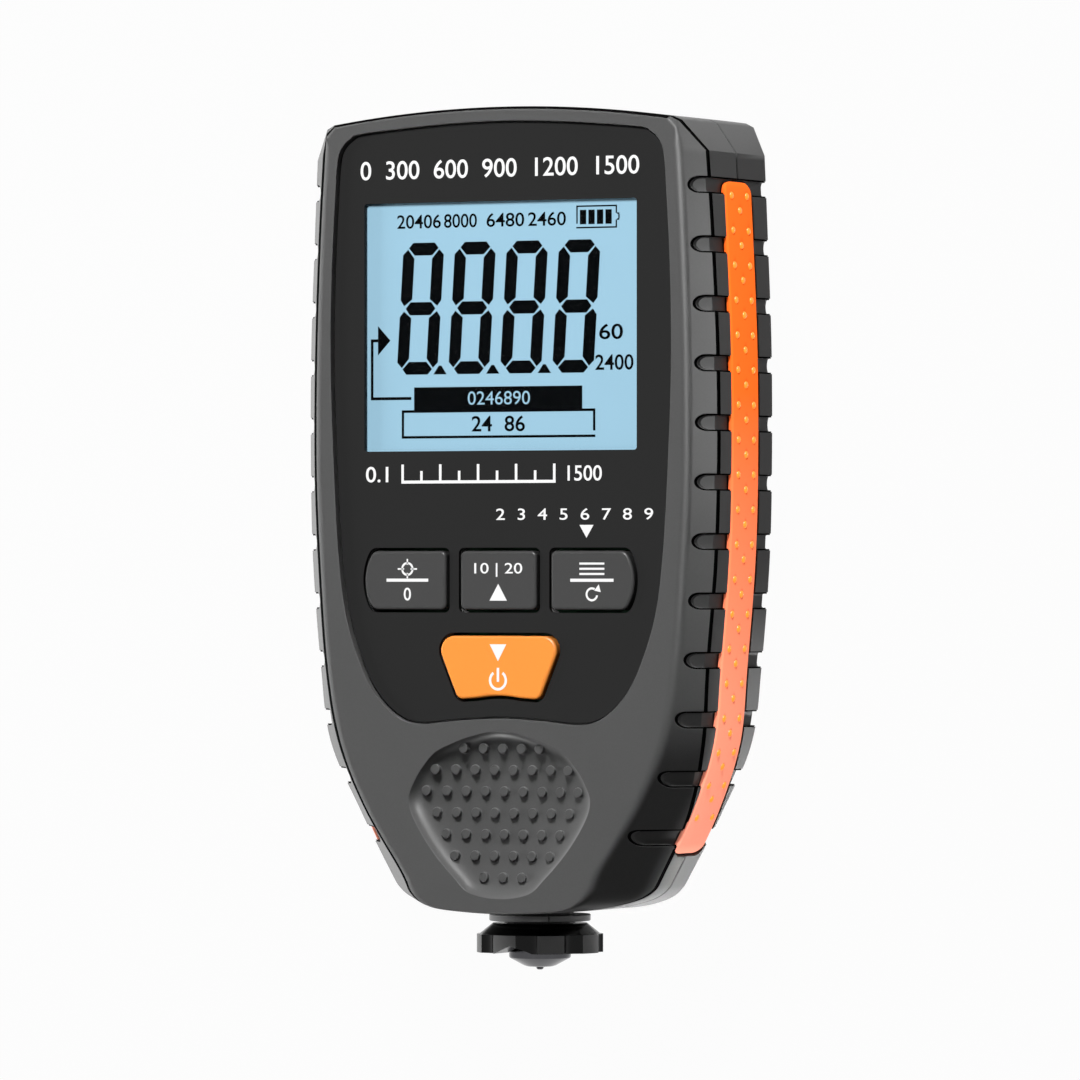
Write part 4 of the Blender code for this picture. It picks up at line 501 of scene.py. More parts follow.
def roundedSection(run, depth, slope):               # (outwards, down) from the flat face to the side wall
    steps = housing["roundSteps"]
    faceRadius = min(housing["faceRadius"], 0.45 * slope)
    creaseRadius = min(housing["creaseRadius"], 0.4 * slope)
    along = (run / slope, depth / slope)
    points = []
    for step in range(steps + 1):
        t = step / steps
        points.append((-faceRadius * (1 - t) ** 2 + along[0] * faceRadius * t ** 2,
                       along[1] * faceRadius * t ** 2))
    for step in range(steps + 1):
        t = step / steps
        points.append((run - along[0] * creaseRadius * (1 - t) ** 2,
                       depth - along[1] * creaseRadius * (1 - t) ** 2 + creaseRadius * t ** 2))
    return points


def halfHousing(name, side):                         # side 1 is the face half, -1 the back half
    sections = [roundedSection(*values) for values in zip(bevelRun, creaseDepth, bevelSlope)]
    rings = []
    for k in range(len(sections[0])):
        ring = []
        for (fx, fy), (cx, cy), run, section in zip(faceLine, creaseLine, bevelRun, sections):
            out, down = section[k]
            ring.append((fx + (cx - fx) / run * out, fy + (cy - fy) / run * out, down))
        rings.append(ring)
    if side > 0:                                     # shadow line under the crease of the face half
        last = [section[-1][1] for section in sections]
        inner = offset(creaseLine, -housing["creaseLineDepth"])
        for line, drop in ((inner, 0.04), (inner, housing["creaseLineWidth"]),
                           (creaseLine, housing["creaseLineWidth"] + 0.06)):
            rings.append(atHeight(line, [z + drop for z in last]))
    parting = levels["middle"] - gap / 2
    chamfer = housing["partingChamfer"]
    rings.append(atHeight(creaseLine, parting - chamfer))
    rings.append(atHeight(offset(creaseLine, -chamfer), parting))
    if side > 0:
        rings = [[(x, y, levels["face"] - z) for x, y, z in ring] for ring in rings]
    steps, marked = housing["roundSteps"], set()
    if side > 0:                                     # painted shade along the crease and its undercut, on the face edge's rounding along the left side and the top, and on the bevel along the top
        for column in range(len(samples)):
            marked.update((row, column) for row in range(steps + 1, 2 * steps + 4))
            if column > rightCount or column < housing["topArcSteps"]:
                marked.update([(steps - 2, column), (steps - 1, column)])
            if column >= len(samples) - housing["topArcSteps"] or column < housing["topArcSteps"]:
                marked.add((steps, column))
    half = skin(name, rings, marked=marked)
    for paint in ("shellGrey", "shellShadow"):
        half.data.materials.append(paints[paint])
    return half


def shrunkenHousing(inset):
    edgeShift = [-inset * (slope - run) / depth for slope, run, depth in zip(bevelSlope, bevelRun, creaseDepth)]
    creaseDrop = [depth + inset * (slope - depth) / run
                  for slope, run, depth in zip(bevelSlope, bevelRun, creaseDepth)]
    rear = [atHeight(offset(faceLine, edgeShift), inset), atHeight(offset(creaseLine, -inset), creaseDrop)]
    front = [[(x, y, levels["face"] - z) for x, y, z in ring] for ring in reversed(rear)]
    return skin("shrunkenHousing", rear + front)


def hollow(side, wall):                              # inside of one half, for a face wall of this thickness
    coarse = housingSamples(1, 3)
    crease = [(a, b) for a, b, c, d, e in coarse]
    face = [(c, d) for a, b, c, d, e in coarse]
    depths = [e for a, b, c, d, e in coarse]
    shares = [min(1.0, wall / depth) for depth in depths]
    floorLine = [(a[0] + (b[0] - a[0]) * t, a[1] + (b[1] - a[1]) * t) for a, b, t in zip(face, crease, shares)]
    rings = [atHeight(offset(floorLine, -2.3), wall),
             atHeight(offset(crease, -housing["wall"]), [max(d, wall) + 0.95 for d in depths]),
             atHeight(offset(crease, -housing["wall"]), levels["middle"] + 2)]
    if side > 0:
        rings = [[(x, y, levels["face"] - z) for x, y, z in ring] for ring in rings]
    return skin("hollow", rings)


def faceEdgeAt(y):
    right = faceLine[housing["topArcSteps"] + 1:rightCount]
    for (x1, y1), (x2, y2) in zip(right, right[1:]):
        if y2 <= y <= y1:
            return x1 + (x2 - x1) * (y1 - y) / (y1 - y2)
    return right[0][0]


grooves = {
    "count": 12, "pitch": 8.0, "topDrop": 11.15, "width": 1.9, "depth": 0.7, "start": 0.9,
    "rimWidth": 0.2, "rimDepth": 0.16,
}


def grooveCutter(growth, depth, mark):
    radius = grooves["width"] / 2 + growth
    outlines = []
    for i in range(grooves["count"]):
        y = housing["topY"] - grooves["topDrop"] - i * grooves["pitch"]
        x = faceEdgeAt(y) + grooves["start"] + grooves["width"] / 2
        right = [(34, y + radius), (34, y - radius)] + arc((x, y), radius, -90, -270, 14)
        outlines += [right, [(-a, b) for a, b in reversed(right)]]
    cutter = combine(flat("grooveCutter", outlines, levels["under"], levels["over"]), shrunkenHousing(depth))
    for paint in ("shellGrey", "shellShadow"):
        cutter.data.materials.append(paints[paint])
    for face in cutter.data.polygons:
        face.material_index = mark
    return cutter


def cutGrooves(shell):                               # each groove has a shallow rim round it, its faces painted near-black as painted shade
    combine(shell, grooveCutter(grooves["rimWidth"], grooves["rimDepth"], 1))
    return combine(shell, grooveCutter(0, grooves["depth"], 0))


grip = {
    "topDrop": 10.45, "endRise": 8.2, "halfHeight": 3.95, "corner": 1.6, "seat": 0.6, "proud": 0.05, "edge": 0.35,
    "dotPitch": 2.36, "dotRows": 37, "dotStartDrop": 1.9, "dotSpread": 2.3, "dotRadius": 0.5, "dotHeight": 0.3,
    "dotSides": 14, "dotSink": 0.03, "singleShift": 0.35,
}


def gripPath():
    top, end = housing["topY"] - grip["topDrop"], housing["noseY"] + grip["endRise"]
    line = creaseLine[housing["topArcSteps"] + 1:rightCount]
    path = []
    for (x1, y1), (x2, y2) in zip(line, line[1:]):
        for y in (top, end):
            if y2 < y <= y1:
                path.append((x1 + (x2 - x1) * (y1 - y) / (y1 - y2), y))
        if end < y2 < top:
            path.append((x2, y2))
    return path


def walk(path, distance):                            # point and outward normal along the strip's path
    for i, (a, b) in enumerate(zip(path, path[1:])):
        a, b = Vector(a), Vector(b)
        length = (b - a).length
        if distance <= length or i == len(path) - 2:
            along = (b - a) / length
            return a + along * distance, Vector((-along.y, along.x))
        distance -= length


def smoothWalk(path, distance, reach=0.6):
    point = walk(path, distance)[0]
    normal = (walk(path, distance - reach)[1] + walk(path, distance + reach)[1]).normalized()
    return point, normal


def gripStrip(name, side, margin=0.0):
    path = gripPath()
    total = sum((Vector(b) - Vector(a)).length for a, b in zip(path, path[1:]))
    radius = grip["corner"] + margin
    ends = [radius * (1 - math.cos(math.radians(angle))) for angle in range(0, 91, 10)]
    distances = [e - margin for e in ends] + [total + margin - e for e in ends]
    distances += [radius + (total - 2 * radius) * i / 90 for i in range(1, 90)]
    rings = []
    for distance in sorted(distances):
        point, normal = smoothWalk(path, distance)
        fromEnd = max(0.0, radius - min(distance + margin, total + margin - distance))
        half = grip["halfHeight"] + margin - radius + math.sqrt(max(0.0, radius ** 2 - fromEnd ** 2))
        inner, outer, edge = -grip["seat"] - margin, grip["proud"], grip["edge"]
        if margin:
            section = [(inner, -half), (outer + 2, -half), (outer + 2, half), (inner, half)]
        else:
            drop = edge * max(0.0, fromEnd / radius) ** 2      # the ends round over as well
            section = [(inner, -half)]
            section += [(outer - drop - edge + x, y - half + edge) for x, y in arc((0, 0), edge, -90, 0, 4)]
            section += [(outer - drop - edge + x, y + half - edge) for x, y in arc((0, 0), edge, 0, 90, 4)]
            section += [(inner, half)]
        rings.append([(side * (point.x + normal.x * out), point.y + normal.y * out, levels["middle"] + up)
                      for out, up in section])
    return skin(name, rings)


# Front panel, window and keys: outlines that the shell's openings share
panel = {
    "topY": 56.6, "endY": -24.8,
    "top": [(22.2, 0.3), (10.8, 1.2)], "corner": [(8.5, 1.9), (7.1, 3.3), (6.6, 5.2), (6.3, 9.0)],
    "side": [(5.7, 20.6), (5.55, 32.6), (6.0, 45.6)],
    "foot": [(6.75, 23.3), (7.9, 14.8), (10.1, 8.1), (12.5, 3.8), (15.8, 0.9), (19.2, 0.0), (25.5, 0.5)],
    "footMiddle": 0.8, "windowX": -0.3, "windowWidth": 42.0, "windowHeight": 33.95, "windowY": 29.075,
    "windowCorner": 0.4, "windowRim": 1.6, "lensInset": 0.2, "keyGap": 0.42, "edge": 0.05,
}
keys = {
    "x": -0.3, "y": -5.5, "height": 8.0, "middleWidth": 11.7, "spacing": 2.25, "sideWidth": 12.65, "bulge": 1.35,
    "corner": 0.8, "bulgeCorner": 1.3, "low": 19.9, "edge": 0.4, "powerTopY": -13.05, "powerHeight": 8.65,
    "powerTopWidth": 19.9, "powerFootWidth": 12.6, "powerTopCorner": 2.0, "powerFootCorner": 1.2, "powerArch": 0.5,
    "powerArchShares": [0.5, 0.33, 0.16, 0, -0.16, -0.33, -0.5],
}


def panelOutline():
    x, p = housing["halfWidth"], panel
    points = [(0.0, p["topY"])]
    points += [(x - inset, p["topY"] - drop) for inset, drop in p["top"] + p["corner"] + p["side"]]
    points += [(x - inset, p["endY"] + rise) for inset, rise in p["foot"]]
    points.append((0.0, p["endY"] + p["footMiddle"]))
    return mirrored(smoothLine(points, 8, (-points[1][0], points[1][1]), (-points[-2][0], points[-2][1])))


def windowOutline(growth):
    return rectangle(panel["windowX"], panel["windowY"], panel["windowWidth"] + 2 * growth,
                     panel["windowHeight"] + 2 * growth, panel["windowCorner"])


def sideKeyOutline(side, growth):
    k = keys
    inner = k["middleWidth"] / 2 + k["spacing"] - growth
    chord = k["middleWidth"] / 2 + k["spacing"] + k["sideWidth"] - k["bulge"] + growth
    half = k["height"] / 2 + growth
    radius = (half ** 2 + k["bulge"] ** 2) / (2 * k["bulge"])
    opening = math.degrees(math.asin(half / radius))
    bulge = arc((chord + k["bulge"] - radius, k["y"]), radius, opening, -opening, 16)
    del bulge[15], bulge[1]
    corners = [(inner, k["y"] + half, k["corner"])]
    corners += [(x, y, k["bulgeCorner"] if i in (0, len(bulge) - 1) else 0) for i, (x, y) in enumerate(bulge)]
    corners += [(inner, k["y"] - half, k["corner"])]
    outline = rounded(corners, 6)
    return [(-x, y) for x, y in reversed(outline)] if side < 0 else outline


def middleKeyOutline(growth):
    return rectangle(0, keys["y"], keys["middleWidth"] + 2 * growth, keys["height"] + 2 * growth, keys["corner"])


def powerKeyOutline(growth):
    k = keys
    top, foot, end = k["powerTopWidth"] / 2, k["powerFootWidth"] / 2, k["powerTopY"] - k["powerHeight"]
    corners = [(top, k["powerTopY"], k["powerTopCorner"]), (foot, end, k["powerFootCorner"])]
    corners += [(foot * x, end + k["powerArch"] * (1 - (x / 0.66) ** 2), 0) for x in k["powerArchShares"]]
    corners += [(-foot, end, k["powerFootCorner"]), (-top, k["powerTopY"], k["powerTopCorner"])]
    outline = rounded(corners, 8)
    return offset(outline, growth) if growth else outline


def keyOutline(key, growth):
    shapes = {"zero": lambda: sideKeyOutline(-1, growth), "mode": lambda: sideKeyOutline(1, growth),
              "unit": lambda: middleKeyOutline(growth), "power": lambda: powerKeyOutline(growth)}
    return [(x + keys["x"], y) for x, y in shapes[key]()]


keyNames = ["zero", "unit", "mode", "power"]

# Thumb dish. Stations: half width, distance below its top edge
dish = {
    "topY": -26.0, "length": 22.8, "depth": 1.8, "centreDrop": 10.3,
    "stations": [(8.46, 2.2), (11.67, 4.8), (13.5, 7.7), (13.97, 9.6), (13.4, 11.7), (11.7, 14.6), (9.6, 17.3),
                 (7.0, 20.0), (4.5, 22.1)],
    "profile": [(1.0, 0.0), (0.94, 0.38), (0.84, 0.66), (0.66, 0.86), (0.4, 1.0)],
    "rows": [5, 8, 9, 8, 7, 6, 3], "pitch": 2.92, "rowDrop": 2.4, "dotRadius": 0.7, "dotHeight": 0.45,
    "dotEdge": 0.14, "dotRoot": -0.4,
}


def dishOutline():
    points = [(0.0, dish["topY"])] + [(x, dish["topY"] - drop) for x, drop in dish["stations"]]
    points.append((0.0, dish["topY"] - dish["length"]))
    return mirrored(smoothLine(points, 6, (-points[1][0], points[1][1]), (-points[-2][0], points[-2][1])))


dishProfile = smoothLine(dish["profile"], 4)


def dishFloor(x, y, outline):
    centre = Vector((0.0, dish["topY"] - dish["centreDrop"]))
    ray = Vector((x, y)) - centre
    share = 0.0
    for a, b in zip(outline, outline[1:] + outline[:1]):
        a, b = Vector(a) - centre, Vector(b) - centre
        turnA, turnB = ray.cross(a), ray.cross(b)
        if ray.length > 0 and turnA * turnB <= 0 and ray.dot(a + b) > 0 and turnA != turnB:
            edge = a + (b - a) * turnA / (turnA - turnB)
            share = ray.length / edge.length
    for (s1, d1), (s2, d2) in zip(dishProfile, dishProfile[1:]):
        if share >= s2:
            return levels["face"] - dish["depth"] * (d1 + (d2 - d1) * (s1 - share) / (s1 - s2))
    return levels["face"] - dish["depth"]


def dishCutter(outline):
    centre = Vector((0.0, dish["topY"] - dish["centreDrop"]))
    rings = [atHeight(outline, levels["face"] + 2)]
    for share, depth in dishProfile:
        ring = [tuple(centre + (Vector(point) - centre) * share) for point in outline]
        rings.append(atHeight(ring, levels["face"] - dish["depth"] * depth))
    return skin("dishCutter", rings)


def dishDots(outline):
    dots = []
    edge = dish["dotEdge"]
    for row, count in enumerate(dish["rows"]):
        y = dish["topY"] - dish["rowDrop"] - row * dish["pitch"]
        for i in range(count):
            x = (i - (count - 1) / 2) * dish["pitch"]
            floor = dishFloor(x, y, outline)
            radius, height = dish["dotRadius"], dish["dotHeight"]
            profile = [(radius, dish["dotRoot"]), (radius, height - edge), (radius - 0.3 * edge, height - 0.3 * edge),
                       (radius - edge, height)]
            dots.append(turned("dishDot", profile, (x, y, floor), "Z", 20))
    return joinUp("dishDots", dots)


def noseHole():
    return rod("noseHole", housing["noseHoleRadius"], -2, 6, (0, housing["noseY"], levels["middle"]), "Y", 64)


print("outlines drawn")


def makeFrontShell():
    shell = halfHousing("frontHousing", 1)
    cutGrooves(shell)
    for side in (1, -1):
        combine(shell, gripStrip("channel", side, gap))
    combine(shell, hollow(1, levels["face"] - levels["ceiling"]))
    combine(shell, flat("pocketCutter", [offset(panelOutline(), gap)], levels["pocket"], levels["over"]))
    openings = [windowOutline(panel["windowRim"])] + [keyOutline(key, panel["keyGap"]) for key in keyNames]
    combine(shell, flat("openings", openings, levels["openings"], levels["over"]))
    outline = dishOutline()
    combine(shell, dishCutter(outline))
    combine(shell, noseHole())
    smoothOff(shell)
    dots = smoothOff(dishDots(outline))
    dots.data.materials.append(paints["shellGrey"])
    shell = joinUp("frontHousing", [shell, dots])
    deliver(shell, "shellGrey", "housing", "shell_grey", "front_shell", second="shellShadow")


bay = {
    "endY": -36.6, "topY": 14.6, "halfWidth": 11.05, "doorEndY": -37.95, "doorTopY": 15.95, "doorHalf": 12.4,
    "blockHalf": 14.7, "hingeY": -37.05, "hingeZ": 1.15, "pinRadius": 0.6, "pinReach": 13.6,
    "notchRadius": 4.0, "notchDepth": 0.9, "ribs": 4, "ribPitch": 1.8, "ribWidth": 0.8, "ribLength": 11.0,
    "ribDrop": 3.5, "ribCut": 0.4, "blockPastEnd": 1.1, "blockPastTop": 2.3, "blockLow": 0.9, "blockTop": 14.55,
    "socketRadius": 0.9, "backWall": 1.8,
}
screws = {
    "places": [(23.2, 51.25), (-23.2, 51.25), (19.3, -31.5), (-19.3, -31.5)],
    "nodes": ["case_screw_1", "case_screw_3", "case_screw_2", "case_screw_4"],
    "headRadius": 2.3, "headHeight": 1.6, "headZ": 3.0, "wellRadius": 2.6, "bossRadius": 3.5, "shankRadius": 1.1,
    "crossWidth": 0.6, "crossLength": 2.4, "crossDepth": 0.8, "bossLow": 0.9, "bossTop": 10.8, "wellTop": 4.9,
    "shankTop": 16.5,
}


def makeRearShell():
    shell = halfHousing("rearHousing", -1)
    cutGrooves(shell)
    for side in (1, -1):
        combine(shell, gripStrip("channel", side, gap))
    b, s, under = bay, screws, levels["under"]
    combine(shell, hollow(-1, b["backWall"]))
    combine(shell, box("bayBlock", (-b["blockHalf"], b["doorEndY"] - b["blockPastEnd"], b["blockLow"]),
                       (b["blockHalf"], b["doorTopY"] + b["blockPastTop"], b["blockTop"])), "UNION")
    for x, y in s["places"]:
        combine(shell, rod("boss", s["bossRadius"], s["bossLow"], s["bossTop"], (x, y, 0), "Z", 40), "UNION")
    combine(shell, box("bayHollow", (-b["halfWidth"], b["endY"], under), (b["halfWidth"], b["topY"], levels["roof"])))
    combine(shell, box("doorRecess", (-b["doorHalf"] - gap, b["doorEndY"] - gap, under),
                       (b["doorHalf"] + gap, b["doorTopY"] + gap, levels["ledge"])))
    combine(shell, rod("pinSockets", b["socketRadius"], -b["pinReach"] - gap, b["pinReach"] + gap,
                       (0, b["hingeY"], b["hingeZ"]), "X", 24))
    combine(shell, rod("thumbNotch", b["notchRadius"], under, b["notchDepth"], (0, b["doorTopY"], 0), "Z", 64))
    for x, y in s["places"]:
        combine(shell, rod("headWell", s["wellRadius"], under, s["wellTop"], (x, y, 0), "Z", 40))
    combine(shell, noseHole())
    smoothOff(shell)
    deliver(shell, "shellGrey", "housing", "shell_grey", "rear_shell", second="shellShadow")


def makeDoor():
    b = bay
    half = (levels["doorIn"] - levels["doorOut"]) / 2
    edge = arc((0, 0), half, 90, 270, 12)
    top = b["doorTopY"] - b["hingeY"]
    profile = edge + [(top, -half), (top, half)]
    rings = [[(x, b["hingeY"] + y, b["hingeZ"] + z) for y, z in profile] for x in (-b["doorHalf"], b["doorHalf"])]
    door = skin("batteryDoor", rings)
    combine(door, rod("doorPins", b["pinRadius"], -b["pinReach"], b["pinReach"],
                      (0, b["hingeY"], b["hingeZ"]), "X", 24), "UNION")
    ribs = []
    for i in range(b["ribs"]):
        ribs.append(rectangle(0, b["doorTopY"] - b["ribDrop"] - i * b["ribPitch"], b["ribLength"],
                              b["ribWidth"], b["ribWidth"] * 0.49))
    combine(door, flat("doorRibs", ribs, levels["under"], levels["doorOut"] + b["ribCut"]))
    smoothOff(door)
    deliver(door, "shellGrey", "door", "shell_grey", "battery_cover")


def makeScrews():
    s = screws
    for (x, y), node in zip(s["places"], s["nodes"]):
        radius, low, high = s["headRadius"], s["headZ"], s["headZ"] + s["headHeight"]
        profile = [(0.0, low), (0.6 * radius, low), (0.85 * radius, low + 0.15), (0.97 * radius, low + 0.45),
                   (radius, low + 0.8), (radius, high), (s["shankRadius"], high),
                   (s["shankRadius"], s["shankTop"]), (0, s["shankTop"])]
        screw = turned("caseScrew", profile, (x, y, 0), "Z", 40)
        for width, length in ((s["crossLength"], s["crossWidth"]), (s["crossWidth"], s["crossLength"])):
            combine(screw, box("cross", (x - width / 2, y - length / 2, low - 1),
                               (x + width / 2, y + length / 2, low + s["crossDepth"])))
        screw.name = "caseScrew_" + node[-1]
        smoothOff(screw)
        deliver(screw, "steelPlate", "housing", "steel", node)


def makeGrips():
    for side, label in ((1, "right"), (-1, "left")):
        strip = smoothOff(gripStrip("strip", side), 40, False)
        path = gripPath()
        dots = []
        g = grip
        for row in range(g["dotRows"]):
            point, normal = smoothWalk(path, g["dotStartDrop"] + row * g["dotPitch"] - row % 2 * g["singleShift"])
            for up in ((-g["dotSpread"], g["dotSpread"]) if row % 2 == 0 else (0.0,)):    # twos and ones
                rings = []
                tangent = Vector((normal.y, -normal.x))
                for angle in (0, 18, 36, 54, 72, 90):
                    radius = g["dotRadius"] * math.cos(math.radians(angle))
                    out = g["proud"] - g["dotSink"] + g["dotHeight"] * math.sin(math.radians(angle))
                    ring = []
                    for step in range(g["dotSides"]):
                        turn = 2 * math.pi * step / g["dotSides"]
                        place = point + normal * out + tangent * radius * math.cos(turn)
                        ring.append((side * place.x, place.y, levels["middle"] + up + radius * math.sin(turn)))
                    rings.append(ring)
                dots.append(skin("bump", rings))
        bumps = smoothOff(joinUp("bumps", dots), 60, False)
        # the bumps take the yellower orange, a painted highlight
        for piece, paint in ((strip, "gripOrange"), (bumps, "bumpOrangeSheen")):
            piece.data.materials.append(paints[paint])
        strip = joinUp("sideStrip_" + label, [strip, bumps])
        deliver(strip, "gripOrange", "housing", "grip_orange", "side_grip_" + label, second="bumpOrangeSheen")


def makePanel():
    outlines = [panelOutline(), windowOutline(0)] + [keyOutline(key, panel["keyGap"]) for key in keyNames]
    sheet = flat("printedPanel", outlines, levels["panelLow"], levels["panelTop"])
    softenEdges(sheet, panel["edge"])
    deliver(smoothOff(sheet), "panelBlack", "housing", "panel_black", "front_panel")
    lens = flat("windowLens", [windowOutline(-panel["lensInset"])], levels["panelLow"], levels["panelTop"])
    softenEdges(lens, panel["edge"])
    deliver(smoothOff(lens), "lensClear", "housing", "lens_clear", "display_window")


def makeKeys():
    finish = {"zero": "keyGrey", "unit": "keyGrey", "mode": "keyGrey", "power": "keyOrange"}
    for key in keyNames:
        outline, edge, top = keyOutline(key, 0), keys["edge"], levels["keyTop"]
        rings = [atHeight(outline, keys["low"])]
        for angle in (0, 22.5, 45, 67.5, 90):
            out = edge * (math.cos(math.radians(angle)) - 1)
            rings.append(atHeight(offset(outline, out), top - edge + edge * math.sin(math.radians(angle))))
        cap = skin(key + "Cap", rings)
        slot = "key_orange" if key == "power" else "key_grey"
        deliver(smoothOff(cap), finish[key], key + "_button", slot, key + "_key")


makeFrontShell()
print("front housing made")
makeRearShell()
makeDoor()
makeScrews()
print("back made")
makeGrips()
makePanel()
makeKeys()
print("strips, panel and keys made")


# Printed marks: thin plates on the panel, the keys and the display glass

def plateMarks(name, outlines, low, high):
    return joinUp(name, [flat("mark", [outline], low, high) for outline in outlines])


def numberMark(text, x, y, width, height, low, high, weight=0.0):      # no width keeps the digits' own shape
    bpy.ops.object.text_add()
    mark = bpy.context.active_object
    mark.data.body = text
    mark.data.size = 1
    mark.data.offset = weight
    mark.data.extrude = 0.5
    mark.data.resolution_u = 6
    bpy.ops.object.convert(target="MESH")
    mark = bpy.context.active_object
    low3 = [min(v.co[i] for v in mark.data.vertices) for i in range(3)]
    high3 = [max(v.co[i] for v in mark.data.vertices) for i in range(3)]
    sizes = (width or height * (high3[0] - low3[0]) / (high3[1] - low3[1]), height, high - low)
    middle = (x, y, (low + high) / 2)
    for vertex in mark.data.vertices:
        for i in range(3):
            share = (vertex.co[i] - (low3[i] + high3[i]) / 2) / (high3[i] - low3[i])
            vertex.co[i] = (middle[i] + share * sizes[i]) * mm
    return cleanUp(mark)


def bar(x1, y1, x2, y2):
    return [(x1, y2), (x2, y2), (x2, y1), (x1, y1)]


prints = {                                           # numbers as text, centre, width, height and weight
    "thickness": 0.012, "displayThickness": 0.02,
    "panelNumbers": [("0  300  600  900  1200  1500", -0.4, 50.55, 43.0, 2.57, 0.008),
                     ("0.1", -19.3, 8.95, 3.5, 2.15, 0.008), ("1500", 12.8, 9.0, None, 2.1, 0.008),
                     ("2  3  4  5  6  7  8  9", 11.2, 3.45, 24.0, 1.57, 0.005)],
    "scaleBar": (-15.5, 7.7, 8.35, 8.1), "scaleStart": -15.31, "scaleStep": 2.932, "scaleMarks": 9,
    "markHalfWidth": 0.19, "longMark": 10.3, "shortMark": 9.4,
    "panelArrow": [(12.0, 1.98), (14.14, 1.98), (13.07, 0.24)],
    "displayNumbers": [("20406", -13.2, 43.5, 6.8, 1.89, 0.008), ("8000", -6.75, 43.5, 5.1, 1.89, 0.008),
                       ("6480", 0.2, 43.5, 5.8, 1.89, 0.008), ("2460", 6.6, 43.5, 5.8, 1.89, 0.008),
                       ("60", 16.4, 28.1, 3.6, 2.1, 0.01), ("2400", 16.9, 23.95, 5.8, 2.1, 0.01),
                       ("24  86", -0.9, 15.8, 8.2, 2.15, 0.01)],
    "barNumbers": ("0246890", -0.8, 19.3, 9.6, 1.83),
}


def panelMarks():
    p = prints
    low, high = levels["panelTop"], levels["panelTop"] + p["thickness"]
    parts = [numberMark(*values[:5], low, high, values[5]) for values in p["panelNumbers"]]
    outlines = [bar(*p["scaleBar"])]
    for i in range(p["scaleMarks"]):
        x = p["scaleStart"] + i * p["scaleStep"]
        top = p["longMark"] if i % 2 == 0 else p["shortMark"]
        outlines.append(bar(x - p["markHalfWidth"], p["scaleBar"][3], x + p["markHalfWidth"], top))
    parts.append(plateMarks("scaleLine", outlines, low, high))
    parts.append(plateMarks("arrow", [p["panelArrow"]], low, high))
    marks = joinUp("panelMarks", parts)
    deliver(marks, "printWhite", "housing", "panel_black")


def ringOutline(x, y, outer, inner, start, end):
    return list(reversed(arc((x, y), outer, start, end, 28))) + arc((x, y), inner, start, end, 28)


def keyMarks():
    low, high = levels["keyTop"], levels["keyTop"] + prints["thickness"]
    # crosshair over a line over a zero
    x = -14.35
    parts = [plateMarks("cross", [bar(x - 1.5, -4.08, x - 0.5, -3.86), bar(x + 0.5, -4.08, x + 1.5, -3.86),
                                  bar(x - 0.11, -3.4, x + 0.11, -2.6), bar(x - 0.11, -5.25, x + 0.11, -4.5),
                                  bar(x - 3.25, -5.71, x + 3.25, -5.29)], low, high),
             flat("ring", [arc((x, -3.97), 0.95, 0, 351, 39), arc((x, -3.97), 0.66, 0, 351, 39)], low, high),
             numberMark("0", x, -7.4, None, 1.76, low, high, 0.008)]
    deliver(joinUp("zeroMarks", parts), "printWhite", "zero_button", "key_grey")
    # two unit numbers over a triangle
    parts = [numberMark("10 | 20", -0.26, -4.1, 7.4, 1.9, low, high, 0.005),
             plateMarks("arrow", [[(-1.6, -8.28), (-0.26, -5.99), (1.08, -8.28)]], low, high)]
    deliver(joinUp("unitMarks", parts), "printWhite", "unit_button", "key_grey")
    # list bars over a line over a turning arrow
    x = 14.1
    outlines = [bar(x - 1.9, y - 0.14, x + 1.9, y + 0.14) for y in (-3.25, -3.95, -4.65)]
    outlines += [bar(x - 3.3, -5.71, x + 3.3, -5.29), ringOutline(x, -7.4, 0.95, 0.66, 60, 350),
                 [(x + 0.35, -6.9), (x + 1.05, -6.05), (x + 1.35, -7.1)]]
    deliver(plateMarks("modeMarks", outlines, low, high), "printWhite", "mode_button", "key_grey")
    # triangle over the switch symbol
    x = -0.3
    outlines = [[(x - 1.28, -14.2), (x + 1.28, -14.2), (x, -16.5)], bar(x - 0.19, -19.3, x + 0.19, -17.4),
                ringOutline(x, -19.1, 1.4, 1.03, 125, 415)]
    deliver(plateMarks("powerMarks", outlines, low, high), "printWhite", "power_button", "key_orange")


digit = {"width": 6.32, "height": 18.0, "slant": 0.062, "pitch": 8.02, "firstX": -12.96, "y": 31.6}


def digitOutlines(centreX, centreY):
    w, h = digit["width"] / 2, digit["height"] / 2
    top = [(-2.3, h - 0.73), (-1.66, h), (1.66, h), (2.3, h - 0.73), (1.34, h - 1.73), (-1.34, h - 1.73)]
    middle = [(-2.3, 0), (-1.6, 0.89), (1.6, 0.89), (2.3, 0), (1.6, -0.89), (-1.6, -0.89)]
    upper = [(w - 0.74, h - 0.92), (w, h - 1.65), (w, 1.15), (w - 0.6, 0.37), (w - 1.78, 1.28), (w - 1.78, h - 2.17)]
    outlines = [top, middle, [(-x, -y) for x, y in top]]
    for mirrorX in (1, -1):
        for mirrorY in (1, -1):
            outlines.append([(mirrorX * x, mirrorY * y) for x, y in upper])
    return [[(centreX + x + digit["slant"] * y, centreY + y) for x, y in outline] for outline in outlines]


